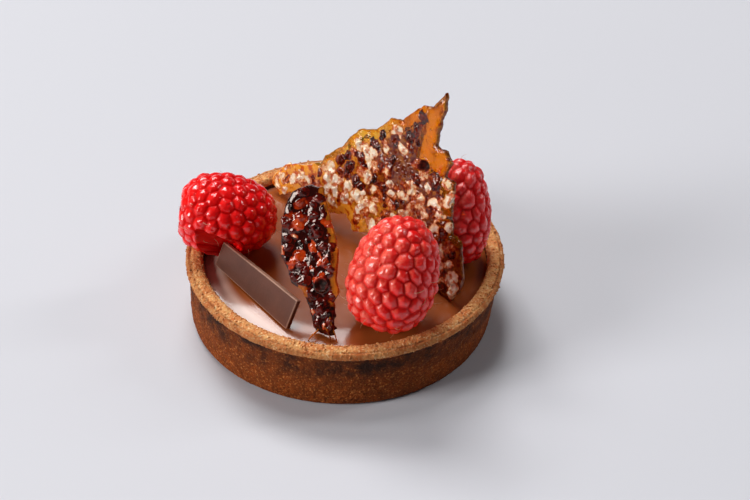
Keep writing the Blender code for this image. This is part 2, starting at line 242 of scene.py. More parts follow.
def add_tree_modifier(carrier, tree, values):
    modifier = carrier.modifiers.new(tree.name, "NODES")
    modifier.node_group = tree
    for item in tree.interface.items_tree:
        if item.in_out == "INPUT" and item.name in values:
            modifier[item.identifier] = values[item.name]


def grown_mesh(name, mesh, tree, values):
    """What a Geometry Nodes tree makes of a mesh, as a plain mesh."""
    carrier = link(name, mesh)
    add_tree_modifier(carrier, tree, values)
    return plain_mesh(carrier)


def read_values(items, name, width=1, kind=np.float32):
    """One property of every item, as a flat array."""
    values = np.empty(len(items) * width, kind)
    items.foreach_get(name, values)
    return values


def read_points(mesh):
    return read_values(mesh.vertices, "co", 3).reshape(-1, 3).astype(float)


def write_points(mesh, points):
    mesh.vertices.foreach_set("co", points.astype(np.float32).ravel())
    mesh.update()


def write_attribute(mesh, name, values):
    attribute = mesh.attributes.get(name) or mesh.attributes.new(name, "FLOAT", "POINT")
    attribute.data.foreach_set("value", np.asarray(values, np.float32))


def paint(mesh, *materials):
    mesh.materials.clear()
    for material in materials:
        mesh.materials.append(material)


def bed_of(piece):
    """A piece's mesh in millimetres, for what is scattered on it."""
    bed = piece.data.copy()
    bed.transform(Matrix.Scale(1 / MM, 4))
    return bed


def add_piece(name, mesh, slot, *replaced):
    """Scales a mesh from millimetres and puts it in the scene, standing for its solids."""
    mesh.transform(Matrix.Scale(MM, 4))
    mesh.shade_smooth()
    piece = link(name, mesh)
    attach(piece, "root")
    if replaced:
        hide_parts(*replaced)
    return piece


def turned_mesh(name, profile, steps):
    """A solid of revolution from a half section that runs from the axis back to the axis."""
    section = bpy.data.meshes.new(name)
    section.from_pydata([(radius, 0.0, height) for radius, height in profile],
                        [(index, index + 1) for index in range(len(profile) - 1)], [])
    lathe = link(name, section)
    screw = lathe.modifiers.new("turn", "SCREW")
    screw.steps = steps
    screw.render_steps = steps
    screw.use_merge_vertices = True
    screw.merge_threshold = 0.0005
    return plain_mesh(lathe)


def rounded_profile(profile, step, coarse):
    """The profile with its corners cut twice, then divided to the step; coarse parts stay."""
    points = [Vector(point) for point in profile]
    for _ in range(2):
        cut = [points[0]]
        for start, end in zip(points, points[1:]):
            cut += [start.lerp(end, 0.25), start.lerp(end, 0.75)]
        points = cut + [points[-1]]
    fine = [points[0]]
    for start, end in zip(points, points[1:]):
        count = 1 if coarse(start) and coarse(end) else math.ceil((end - start).length / step)
        fine += [start.lerp(end, (index + 1) / count) for index in range(count)]
    return [tuple(point) for point in fine]


def crag(point, size):
    """Smooth noise between -1 and 1, the same for the same point."""
    return noise.noise(point / size)


# ---------------------------------------------------------------- finishes

def linear(red, green, blue):
    """A colour as a screen shows it, 0 to 255, as the shader's linear red, green and blue."""
    def channel(value):
        share = value / 255
        return share / 12.92 if share <= 0.04045 else ((share + 0.055) / 1.055) ** 2.4
    return channel(red), channel(green), channel(blue), 1.0


def new_material(name, **constants):
    """A material, its node tree and its Principled shader with the constants set on it."""
    material = bpy.data.materials.new(name)
    material.use_nodes = True
    shader = material.node_tree.nodes["Principled BSDF"]
    for socket_name, value in constants.items():
        shader.inputs[socket_name.replace("_", " ")].default_value = value
    return material, material.node_tree, shader


def object_place(tree):
    return add_node(tree, "ShaderNodeTexCoord").outputs["Object"]


def attribute_value(tree, name):
    return add_node(tree, "ShaderNodeAttribute", attribute_name=name).outputs["Fac"]


def grain_group():
    """Fine grain and broad patches, as two masks, for pastry, chocolate and nuts."""
    tree, given, result = new_tree(
        "grain", "ShaderNodeTree", [("Vector", VECTOR), ("Grain", FLOAT), ("Patch", FLOAT)],
        [("Grains", FLOAT), ("Patches", FLOAT)])
    cells = add_node(tree, "ShaderNodeTexVoronoi", {"Vector": given["Vector"],
                                                    "Scale": given["Grain"]})
    fine = add_node(tree, "ShaderNodeTexNoise", {"Vector": given["Vector"],
                                                 "Scale": given["Grain"], "Detail": 3.0})
    grains = math_node(tree, "MULTIPLY_ADD", cells.outputs["Distance"], 0.5,
                       math_node(tree, "MULTIPLY", fine.outputs[0], 0.6))
    broad = add_node(tree, "ShaderNodeTexNoise", {"Vector": given["Vector"],
                                                  "Scale": given["Patch"], "Detail": 4.0,
                                                  "Roughness": 0.6})
    tree.links.new(grains, result["Grains"])
    tree.links.new(ramp_between(tree, broad.outputs[0], 0.35, 0.65), result["Patches"])
    return tree


def ripple_group():
    """Height of the soft unevenness of a wet or set gloss."""
    tree, given, result = new_tree(
        "ripple", "ShaderNodeTree", [("Vector", VECTOR), ("Scale", FLOAT)], [("Height", FLOAT)])
    soft = add_node(tree, "ShaderNodeTexNoise", {"Vector": given["Vector"],
                                                 "Scale": given["Scale"], "Detail": 2.0})
    tree.links.new(soft.outputs[0], result["Height"])
    return tree


GRAIN = grain_group()
RIPPLE = ripple_group()


def group_outputs(tree, group, sockets):
    return add_node(tree, "ShaderNodeGroup", sockets, node_tree=group).outputs


def grain_masks(tree, place, grain_size, patch_size):
    outputs = group_outputs(tree, GRAIN, {"Vector": place, "Grain": 1 / (grain_size * MM),
                                          "Patch": 1 / (patch_size * MM)})
    return outputs["Grains"], outputs["Patches"]


def ripple_height(tree, place, size):
    return group_outputs(tree, RIPPLE, {"Vector": place, "Scale": 1 / (size * MM)})["Height"]


def bump(tree, shader, height, distance):
    """Feeds a height, whose full range is the distance in millimetres, into the normal."""
    new = add_node(tree, "ShaderNodeBump", {"Height": height, "Distance": distance * MM})
    tree.links.new(new.outputs[0], shader.inputs["Normal"])


def pastry_finish():
    """Chocolate shortcrust: pale and sandy on the rim, partly as painted sheen; browner and mottled
    down the wall; with painted glints, and painted shade under the lip and in the groove.
    """
    material, tree, shader = new_material("shortcrust", Roughness=0.7, Specular_IOR_Level=0.08)
    place = object_place(tree)
    split = add_node(tree, "ShaderNodeSeparateXYZ", {0: place}).outputs
    height = math_node(tree, "DIVIDE", split["Z"], MM)
    flat = vector_node(tree, "MULTIPLY", place, (1 / MM, 1 / MM, 0.0))
    radius = vector_node(tree, "LENGTH", flat, output=1)
    grains, patches = grain_masks(tree, place, 0.55, 5.0)
    speckle, blotches = grain_masks(tree, place, 1.1, 2.4)
    wall = mix_colour(tree, grains, linear(74, 30, 9), linear(168, 80, 30))
    # painted glints: pale golden specks on the wall, and stronger on the rim, stand in for
    # highlights on the crumb
    painted_glints = ramp_between(tree, noise_node(tree, place, 0.5), 0.55, 0.7)
    wall = mix_colour(tree, math_node(tree, "MULTIPLY", painted_glints, 0.6), wall,
                      linear(232, 144, 76))
    # painted shade under the lip's overhang: a dark band down the upper wall, uneven in patches,
    # partly scorching
    under_lip_band = math_node(tree, "MULTIPLY", ramp_between(tree, height, 5.5, 12.0),
                     ramp_between(tree, height, 15.6, 14.6))
    lip_shade_and_scorch = math_node(tree, "MULTIPLY", under_lip_band,
                       math_node(tree, "MULTIPLY_ADD", patches, 0.75, 0.2))
    wall = mix_colour(tree, lip_shade_and_scorch, wall, linear(38, 27, 24))
    wall = mix_colour(tree, math_node(tree, "MULTIPLY", blotches, 0.35), wall,
                      linear(62, 34, 20))
    # the rim is much paler than the wall: partly its sandy crumb, partly a painted sheen where the
    # light from above falls on its top
    rim = mix_colour(tree, grains, linear(204, 100, 42), linear(255, 208, 136))
    rim = mix_colour(tree, math_node(tree, "MULTIPLY", blotches, 0.65), rim, linear(200, 94, 40))
    rim = mix_colour(tree, math_node(tree, "MULTIPLY", painted_glints, 0.75), rim, linear(255, 224, 170))
    rim_mask = math_node(tree, "ADD", ramp_between(tree, height, 14.9, 15.6),
                         math_node(tree, "MULTIPLY", speckle, 0.3))
    outer = math_node(tree, "MULTIPLY", ramp_between(tree, radius, 36.4, 37.6),
                      math_node(tree, "MULTIPLY_ADD", patches, 0.35, 0.3))
    rim = mix_colour(tree, outer, rim, linear(154, 78, 38))
    colour = mix_colour(tree, ramp_between(tree, rim_mask, 0.3, 0.9), wall, rim)
    # painted shade in the groove of the rim: darker along it, uneven in blotches
    groove = RIM_RADIUS - GROOVE_INSET
    off_groove = math_node(tree, "ABSOLUTE", math_node(tree, "SUBTRACT", radius, groove))
    groove_shade = math_node(tree, "MULTIPLY", ramp_between(tree, off_groove, 0.4, 0.0),
                          ramp_between(tree, height, 15.8, 16.4))
    uneven = math_node(tree, "MULTIPLY_ADD", blotches, 0.5, 0.1)
    colour = mix_colour(tree, math_node(tree, "MULTIPLY", groove_shade, uneven), colour,
                        linear(96, 56, 34))
    tree.links.new(colour, shader.inputs["Base Color"])
    bump(tree, shader, grains, 0.22)
    return material


def ganache_finish():
    """Smooth set milk chocolate, with a pale painted reflection of the light near the rim on its
    left-front side.
    """
    material, tree, shader = new_material("milk_chocolate_ganache", Roughness=0.14)
    place = object_place(tree)
    _, patches = grain_masks(tree, place, 1.0, 14.0)
    colour = mix_colour(tree, patches, linear(156, 78, 34), linear(162, 84, 38))
    flat = vector_node(tree, "MULTIPLY", place, (1 / MM, 1 / MM, 0.0))
    radius = vector_node(tree, "LENGTH", flat, output=1)
    towards = vector_node(tree, "DOT_PRODUCT", vector_node(tree, "NORMALIZE", flat),
                          tuple(GANACHE_SLOPE) + (0.0,), output=1)
    # painted reflection: a pale band near the rim, towards the left-front, where the light behind
    # would mirror in the gloss
    start = ramp_between(tree, towards, 0.45, 0.95, 31.2, 28.2)
    painted_reflection = math_node(tree, "MULTIPLY", ramp_between(tree, towards, 0.1, 0.8, 0.0, 0.95),
                     ramp_between(tree, math_node(tree, "SUBTRACT", radius, start), 0.0, 2.4))
    colour = mix_colour(tree, painted_reflection, colour, linear(232, 192, 174))
    tree.links.new(colour, shader.inputs["Base Color"])
    cloud = noise_node(tree, place, 6.0)
    tree.links.new(ramp_between(tree, cloud, 0.3, 0.7, 0.15, 0.21), shader.inputs["Roughness"])
    bump(tree, shader, ripple_height(tree, place, 3.5), 0.015)
    return material


def chocolate_finish():
    """Dark chocolate with a faint grey bloom, dusty where its edges are scuffed, and paler along
    its top as a painted highlight.
    """
    material, tree, shader = new_material("dark_chocolate", Roughness=0.42,
                                          Specular_IOR_Level=0.4)
    place = object_place(tree)
    grains, patches = grain_masks(tree, place, 0.5, 6.0)
    colour = mix_colour(tree, patches, linear(92, 50, 34), linear(102, 57, 40))
    # pale on scuffed edges, and on the top face as a painted highlight
    scuff_and_highlight = math_node(tree, "MULTIPLY", attribute_value(tree, "edge"),
                      ramp_between(tree, grains, 0.15, 0.5))
    colour = mix_colour(tree, scuff_and_highlight, colour, linear(216, 168, 142))
    tree.links.new(colour, shader.inputs["Base Color"])
    bump(tree, shader, grains, 0.03)
    return material


def raspberry_finish(name, skin, bloom_and_sheen_colour, crease, roughness):
    """Raspberry skin: a painted shade of darker red in the creases, and pale with bloom and a
    painted sheen on the side facing the light.
    """
    material, tree, shader = new_material(name, Subsurface_Weight=0.06,
                                          Subsurface_Radius=(1.0, 0.2, 0.15),
                                          Subsurface_Scale=0.0012, Specular_IOR_Level=0.1,
                                          Coat_IOR=1.65, Coat_Roughness=roughness)
    place = object_place(tree)
    grains, patches = grain_masks(tree, place, 0.3, 0.5)
    # bloom and a painted sheen: paler on the side facing the light, broken into patches
    facing = vector_node(tree, "DOT_PRODUCT", BLOOM_AND_SHEEN_SIDE, output=1)
    surface = add_node(tree, "ShaderNodeNewGeometry")
    tree.links.new(surface.outputs["Normal"], facing.node.inputs[1])
    bloom_and_sheen_mask = math_node(tree, "MULTIPLY", ramp_between(tree, facing, 0.6, 1.0),
                     math_node(tree, "MULTIPLY_ADD", patches, 0.65, 0.35))
    bloom_and_sheen_veil = math_node(tree, "MULTIPLY_ADD", attribute_value(tree, "drupelet"), 0.2, bloom_and_sheen_mask)
    colour = mix_colour(tree, bloom_and_sheen_veil, skin, bloom_and_sheen_colour)
    in_crease = attribute_value(tree, "crease")
    # painted shade: the skin turns darker red towards the creases between drupelets
    colour = mix_colour(tree, ramp_between(tree, in_crease, 0.2, 0.8), colour, crease)
    colour = mix_colour(tree, attribute_value(tree, "hollow"), colour, linear(214, 120, 110))
    tree.links.new(colour, shader.inputs["Base Color"])
    tree.links.new(ramp_between(tree, patches, 0.0, 1.0, 0.35, 0.5), shader.inputs["Roughness"])
    tree.links.new(ramp_between(tree, in_crease, 0.5, 0.15), shader.inputs["Coat Weight"])
    bump(tree, shader, grains, 0.035)
    return material


def hair_finish():
    material, tree, shader = new_material("raspberry_hair", Roughness=0.5)
    fade = noise_node(tree, object_place(tree), 1.5)
    colour = mix_colour(tree, fade, linear(170, 110, 70), linear(226, 190, 150))
    tree.links.new(colour, shader.inputs["Base Color"])
    return material


def caramel_finish(name, burnt, clear, honey, transmission):
    """Set caramel: clear amber where thin, browner where cooked darker, yellow as honey."""
    material, tree, shader = new_material(name, Roughness=0.06, IOR=1.4,
                                          Specular_IOR_Level=0.3,
                                          Transmission_Weight=transmission)
    place = object_place(tree)
    _, patches = grain_masks(tree, place, 1.0, 3.0)
    share = math_node(tree, "ADD", attribute_value(tree, "clear"),
                      math_node(tree, "MULTIPLY_ADD", patches, 1.0, -0.55))
    colour = mix_colour(tree, ramp_between(tree, share, 0.0, 1.0), burnt, clear)
    colour = mix_colour(tree, attribute_value(tree, "honey"), colour, honey)
    tree.links.new(colour, shader.inputs["Base Color"])
    bump(tree, shader, ripple_height(tree, place, 0.9), 0.15)
    return material


def praline_finish(name, burnt, amber, tones, mottle, glaze, ripple):
    """Chopped nuts under runs of brown caramel glaze, and cloudy caramel between them."""
    material, tree, shader = new_material(name, Roughness=0.06, IOR=1.55,
                                          Specular_Tint=(1.0, 0.84, 0.76, 1.0))
    place = object_place(tree)
    grains, patches = grain_masks(tree, place, 0.6, 1.1)
    wander = math_node(tree, "MULTIPLY_ADD", patches, mottle, -mottle / 2)
    wander = math_node(tree, "ADD", wander, math_node(tree, "MULTIPLY_ADD", grains, 0.16, -0.08))
    tone = math_node(tree, "ADD", attribute_value(tree, "tone"), wander)
    nut = colour_ramp(tree, tone, tones)
    share = math_node(tree, "MULTIPLY_ADD", attribute_value(tree, "honey"), 0.6,
                      attribute_value(tree, "clear"))
    share = math_node(tree, "ADD", wander, share)
    caramel = mix_colour(tree, ramp_between(tree, share, 0.1, 0.9), burnt, amber)
    cover = ramp_between(tree, attribute_value(tree, "cover"), 0.25, 0.8)
    colour = mix_colour(tree, cover, caramel, nut)
    runs = ramp_between(tree, noise_node(tree, place, 1.5, detail=3.0), 0.48, 0.6, 0.0, glaze)
    colour = mix_colour(tree, runs, colour, linear(204, 112, 54), blend="MULTIPLY")
    tree.links.new(colour, shader.inputs["Base Color"])
    hole = attribute_value(tree, "hole")
    tree.links.new(ramp_between(tree, hole, 0.1, 0.5, 0.06, 0.7), shader.inputs["Roughness"])
    bump(tree, shader, ripple_height(tree, place, 0.6), ripple)
    return material


# ---------------------------------------------------------------- shell

def crust_profile():
    """The shell's half section: floor, inner wall, rim, rolled lip, outer wall and base."""
    lip_foot = RIM_TOP - LIP_HEIGHT
    wall_top_radius = RIM_RADIUS - LIP_OVERHANG
    wall_slope = (wall_top_radius - BASE_RADIUS) / RIM_TOP
    return [
        (0.0, FLOOR_THICKNESS),
        (HOLLOW_FOOT_RADIUS - ROUNDING, FLOOR_THICKNESS),
        (HOLLOW_FOOT_RADIUS, FLOOR_THICKNESS + ROUNDING),
        (HOLLOW_TOP_RADIUS, GANACHE_TOP - ROUNDING),
        (RIM_INNER_RADIUS, RIM_TOP - ROUNDING),
        (RIM_INNER_RADIUS + ROUNDING, RIM_TOP),
        (RIM_RADIUS - GROOVE_INSET - GROOVE_DEPTH, RIM_TOP),
        (RIM_RADIUS - GROOVE_INSET, RIM_TOP - GROOVE_DEPTH),
        (RIM_RADIUS - GROOVE_INSET / 2, RIM_TOP - GROOVE_DEPTH / 2),
        (RIM_RADIUS, RIM_TOP - LIP_HEIGHT / 2),
        (RIM_RADIUS - LIP_OVERHANG / 4, lip_foot),
        (wall_top_radius, lip_foot - LIP_OVERHANG / 3),
        (BASE_RADIUS + wall_slope * RIM_TOP * 0.6, RIM_TOP * 0.6),
        (BASE_RADIUS + wall_slope * RIM_TOP * 0.3, RIM_TOP * 0.3),
        (BASE_RADIUS, BASE_CHAMFER),
        (BASE_RADIUS - BASE_CHAMFER, 0.0),
        (0.0, 0.0),
    ]


def rough_relief_tree():
    """Pushes a surface in and out where it carries relief: crags, grains and small pits."""
    tree, given, result = new_tree(
        "rough_relief", "GeometryNodeTree",
        [("Geometry", GEOMETRY), ("Crag Size", FLOAT), ("Crag Depth", FLOAT),
         ("Grain Size", FLOAT), ("Grain Depth", FLOAT), ("Pit Size", FLOAT),
         ("Pit Depth", FLOAT), ("Material", MATERIAL)],
        [("Geometry", GEOMETRY)])
    place = add_node(tree, "GeometryNodeInputPosition").outputs[0]

    def lumps(size, detail):
        sockets = {"Vector": place, "Scale": math_node(tree, "DIVIDE", 1.0, size),
                   "Detail": detail}
        return math_node(tree, "MULTIPLY_ADD",
                         add_node(tree, "ShaderNodeTexNoise", sockets).outputs[0], 2.0, -1.0)

    crags = math_node(tree, "MULTIPLY", lumps(given["Crag Size"], 2.0), given["Crag Depth"])
    cells = add_node(tree, "ShaderNodeTexVoronoi", {
        "Vector": place, "Scale": math_node(tree, "DIVIDE", 1.0, given["Grain Size"])})
    grains = math_node(tree, "MULTIPLY", given["Grain Depth"],
                       math_node(tree, "SUBTRACT", 0.5, cells.outputs["Distance"]))
    pits = math_node(tree, "MULTIPLY", given["Pit Depth"],
                     ramp_between(tree, lumps(given["Pit Size"], 1.0), 0.3, 0.6))
    height = math_node(tree, "SUBTRACT", math_node(tree, "ADD", crags, grains), pits)
    mask = add_node(tree, "GeometryNodeInputNamedAttribute", {"Name": "relief"}).outputs[0]
    height = math_node(tree, "MULTIPLY", height, mask)
    normal = add_node(tree, "GeometryNodeInputNormal").outputs[0]
    offset = vector_node(tree, "SCALE", normal)
    tree.links.new(height, offset.node.inputs["Scale"])
    moved = add_node(tree, "GeometryNodeSetPosition", {"Geometry": given["Geometry"],
                                                       "Offset": offset})
    return end_tree(tree, moved, given, result)


def make_crust(pastry, rough):
    def hidden(point):
        return point.x < RIM_INNER_RADIUS - 0.2 and point.y < GANACHE_TOP - 1.0

    mesh = turned_mesh("crust", rounded_profile(crust_profile(), CRUST_MESH, hidden), CRUST_STEPS)
    points = read_points(mesh)
    radius = np.hypot(points[:, 0], points[:, 1])
    outside = (radius > RIM_INNER_RADIUS + 0.3) | (points[:, 2] > GANACHE_TOP + 0.6)
    write_attribute(mesh, "relief", outside * np.clip(points[:, 2], 0, 1))
    mesh = grown_mesh("crust", mesh, rough, {**CRUST_RELIEF, "Material": pastry})
    points = read_points(mesh)
    radius = np.hypot(points[:, 0], points[:, 1])
    sheared = (radius > RIM_INNER_RADIUS + 0.3) | (points[:, 2] < 0.4)
    points[:, 0] += sheared * BASE_SHIFT * np.clip(1.0 - points[:, 2] / RIM_TOP, 0, None)
    points[:, 2] = np.clip(points[:, 2], 0.0, None)
    write_points(mesh, points)
    return add_piece("crust_baked", mesh, "shortcrust", "crust")


def scatter_tree():
    """Scatters small lumps on a surface where an attribute allows them."""
    tree, given, result = new_tree(
        "scatter", "GeometryNodeTree",
        [("Geometry", GEOMETRY), ("Density", FLOAT), ("Size", FLOAT), ("Seed", INTEGER),
         ("Material", MATERIAL)],
        [("Geometry", GEOMETRY)])
    allowed = add_node(tree, "GeometryNodeInputNamedAttribute", {"Name": "crumbly"}).outputs[0]
    spots = add_node(tree, "GeometryNodeDistributePointsOnFaces", {
        "Mesh": given["Geometry"], "Seed": given["Seed"],
        "Density": math_node(tree, "MULTIPLY", given["Density"], allowed)})
    lump = add_node(tree, "GeometryNodeMeshIcoSphere", {"Radius": 0.5, "Subdivisions": 2})
    turn = add_node(tree, "FunctionNodeRandomValue", {
        0: (0.0, 0.0, 0.0), 1: (6.3, 6.3, 6.3), "Seed": given["Seed"]}, data_type="FLOAT_VECTOR")
    size = add_node(tree, "FunctionNodeRandomValue", {
        0: (0.5, 0.5, 0.35), 1: (1.4, 1.1, 0.8), "Seed": given["Seed"]},
        data_type="FLOAT_VECTOR")
    scale = vector_node(tree, "SCALE", size.outputs[0])
    tree.links.new(given["Size"], scale.node.inputs["Scale"])
    placed = add_node(tree, "GeometryNodeInstanceOnPoints", {
        "Points": spots.outputs[0], "Instance": lump.outputs[0],
        "Rotation": add_node(tree, "FunctionNodeEulerToRotation", {0: turn.outputs[0]}).outputs[0],
        "Scale": scale})
    return end_tree(tree, placed, given, result)


def make_crumbs(crust, pastry):
    """Loose baked crumbs that cling to the rim and the lip."""
    bed = bed_of(crust)
    height = read_points(bed)[:, 2]
    write_attribute(bed, "crumbly", (height > RIM_TOP - LIP_HEIGHT) & (height < CRUMB_TOP))
    mesh = grown_mesh("pastry_crumbs", bed, scatter_tree(), {
        "Density": 0.75, "Size": 0.55, "Seed": 4, "Material": pastry})
    return add_piece("pastry_crumbs", mesh, "shortcrust")


# ---------------------------------------------------------------- ganache

def make_ganache(chocolate):
    top = [(radius, GANACHE_TOP) for radius in np.linspace(0.0, HOLLOW_TOP_RADIUS + 0.15,
                                                          GANACHE_RINGS)]
    foot = FLOOR_THICKNESS + 0.3
    profile = top + [(HOLLOW_FOOT_RADIUS - 0.3, foot), (0.0, foot)]
    mesh = turned_mesh("ganache", profile, GANACHE_STEPS)
    for vertex in mesh.vertices:
        place = vertex.co
        if place.z < GANACHE_TOP - 0.1:
            continue
        radius = math.hypot(place.x, place.y)
        swell = 0.02 * crag(place, 15.0) + 0.004 * crag(place, 5.0)
        left = max(0.0, (place.x * GANACHE_SLOPE.x + place.y * GANACHE_SLOPE.y) / (radius + 1e-9))
        fall = (GANACHE_FALL + GANACHE_SIDE_FALL * left ** 6)
        fall *= max(0.0, radius - GANACHE_FLAT_RADIUS) ** 2
        crevice = GANACHE_CREVICE_SLOPE * max(0.0, radius - GANACHE_CREVICE_RADIUS)
        place.z += swell - fall - crevice
    paint(mesh, chocolate)
    return add_piece("ganache_poured", mesh, "milk_chocolate_ganache", "ganache")


# ---------------------------------------------------------------- chocolate stick

def stick_frame():
    """Foot of the stick, its direction, the direction up its face, and its backward normal."""
    along = (STICK_FOOT_RIGHT - STICK_FOOT_LEFT).normalized()
    back = Vector((-along.y, along.x, 0.0))
    if back.y < 0:
        back.negate()
    up = back * math.sin(STICK_LEAN) + Vector((0, 0, 1)) * math.cos(STICK_LEAN)
    normal = back * math.cos(STICK_LEAN) - Vector((0, 0, 1)) * math.sin(STICK_LEAN)
    return STICK_FOOT_LEFT, along, up, normal


def stick_height(share):
    """Its height at a share of its length from the left."""
    return STICK_HEIGHT_LEFT + (STICK_HEIGHT_RIGHT - STICK_HEIGHT_LEFT) * share


def make_stick(chocolate):
    """The stick: a cut bar, remeshed, with its edges worn and nicked."""
    foot, along, up, normal = stick_frame()
    foot = foot + Vector((0, 0, 1)) * (STICK_THICKNESS * math.sin(STICK_LEAN) - 0.1)
    length = (STICK_FOOT_RIGHT - STICK_FOOT_LEFT).length
    shape = bmesh.new()
    bmesh.ops.create_cube(shape, size=1.0)
    for vertex in shape.verts:
        share = vertex.co.x + 0.5
        vertex.co = Vector((share * length, (vertex.co.y + 0.5) * STICK_THICKNESS,
                            (vertex.co.z + 0.5) * stick_height(share)))
    carrier = link("stick", shape_mesh("stick", shape))
    worn = carrier.modifiers.new("worn", "BEVEL")
    worn.width = STICK_BEVEL
    worn.segments = 2
    add_skin(carrier, "skin", STICK_VOXEL)
    mesh = plain_mesh(carrier)
    points = read_points(mesh)
    height = stick_height(np.clip(points[:, 0] / length, 0, 1))
    sides = np.stack([
        np.minimum(points[:, 0], length - points[:, 0]),
        np.minimum(points[:, 1], STICK_THICKNESS - points[:, 1]),
        np.minimum(points[:, 2], height - points[:, 2])])
    sides.sort(axis=0)
    edge = np.clip(1.0 - sides[1] / STICK_SCUFF, 0, 1)
    # the top face is paler too, weaker than the scuffs: a painted highlight along the top of the
    # stick
    top = np.clip(1.0 - (height - points[:, 2]) / 0.25, 0, 1)
    write_attribute(mesh, "edge", np.maximum(edge * 0.8, top * 0.35))
    middle = np.stack([points[:, 0], np.full(len(points), STICK_THICKNESS / 2), height / 2], 1)
    for index, vertex in enumerate(mesh.vertices):
        place = vertex.co
        rough = 0.02 * crag(place, 2.0)
        nick = max(0.0, crag(place, 0.9) - 0.15) * 0.35 * float(edge[index])
        inward = Vector((0.0, *(middle[index] - points[index])[1:])).normalized()
        vertex.co = place + inward * (nick + rough)
    placing = Matrix((along, normal, up)).transposed().to_4x4()
    mesh.transform(Matrix.Translation(foot) @ placing)
    paint(mesh, chocolate)
    return add_piece("chocolate_stick_cut", mesh, "dark_chocolate", "chocolate_stick")


# ---------------------------------------------------------------- raspberries

def berry_point(polar, azimuth, length, width):
    """Point of the smooth berry under its drupelets; polar 0 is the tip, pi the stem end."""
    if polar < math.pi / 2:
        reach = length * TIP_SHARE
        fullness = TIP_FULLNESS
    else:
        reach = length * (1.0 - TIP_SHARE)
        fullness = STEM_FULLNESS
    radius = width / 2 * max(math.sin(polar), 0.0) ** fullness
    return Vector((radius * math.cos(azimuth), radius * math.sin(azimuth),
                   reach * math.cos(polar)))


def drupelet_directions(length, width, seed):
    """(polar, azimuth) of every drupelet: staggered rows from the tip to the stem's hollow."""
    draw = random.Random(seed)
    samples = []
    travelled = 0.0
    previous = berry_point(0.0, 0.0, length, width)
    for step in range(MERIDIAN_SAMPLES + 1):
        polar = math.pi * step / MERIDIAN_SAMPLES
        place = berry_point(polar, 0.0, length, width)
        travelled += (place - previous).length
        previous = place
        samples.append((polar, travelled, place.x))
    rim = next(item for item in reversed(samples) if item[2] >= STEM_RIM_RADIUS)
    row_count = round(rim[1] / DRUPELET_ROW)
    directions = [(0.0, 0.0)]
    for row in range(1, row_count + 1):
        distance = rim[1] * row / row_count
        polar, _, radius = min(samples, key=lambda item: abs(item[1] - distance))
        count = max(5, round(math.tau * radius / DRUPELET_WIDTH))
        start = draw.uniform(0.0, math.tau)
        for index in range(count):
            turn = (index + draw.uniform(-1, 1) * DRUPELET_JITTER) / count
            tilt = draw.uniform(-1, 1) * DRUPELET_JITTER * DRUPELET_ROW / length * 2.0
            directions.append((polar + tilt, start + math.tau * turn))
    directions.append((math.pi, 0.0))
    return directions


def berry_form_group():
    """Carries a unit direction to its point on the smooth berry, as berry_point does."""
    sizes = ("Length", "Width", "Tip Share", "Tip Fullness", "Stem Fullness")
    tree, given, result = new_tree(
        "berry_form", "GeometryNodeTree",
        [("Direction", VECTOR)] + [(name, FLOAT) for name in sizes], [("Point", VECTOR)])
    split = add_node(tree, "ShaderNodeSeparateXYZ", {0: given["Direction"]}).outputs
    sideways = vector_node(tree, "MULTIPLY", given["Direction"], (1.0, 1.0, 0.0))
    sine = vector_node(tree, "LENGTH", sideways, output=1)
    towards_tip = math_node(tree, "GREATER_THAN", split["Z"], 0.0)

    def either(tip_value, stem_value):
        sockets = {0: towards_tip, 2: stem_value, 3: tip_value}
        return add_node(tree, "ShaderNodeMix", sockets, data_type="FLOAT").outputs[0]

    fullness = either(given["Tip Fullness"], given["Stem Fullness"])
    share = either(given["Tip Share"], math_node(tree, "SUBTRACT", 1.0, given["Tip Share"]))
    radius = math_node(tree, "MULTIPLY", math_node(tree, "POWER", sine, fullness),
                       math_node(tree, "MULTIPLY", given["Width"], 0.5))
    ring = vector_node(tree, "SCALE", vector_node(tree, "NORMALIZE", sideways))
    tree.links.new(radius, ring.node.inputs["Scale"])
    rise = math_node(tree, "MULTIPLY", split["Z"],
                     math_node(tree, "MULTIPLY", share, given["Length"]))
    lift = add_node(tree, "ShaderNodeCombineXYZ", {"Z": rise}).outputs[0]
    tree.links.new(vector_node(tree, "ADD", ring, lift), result["Point"])
    return tree


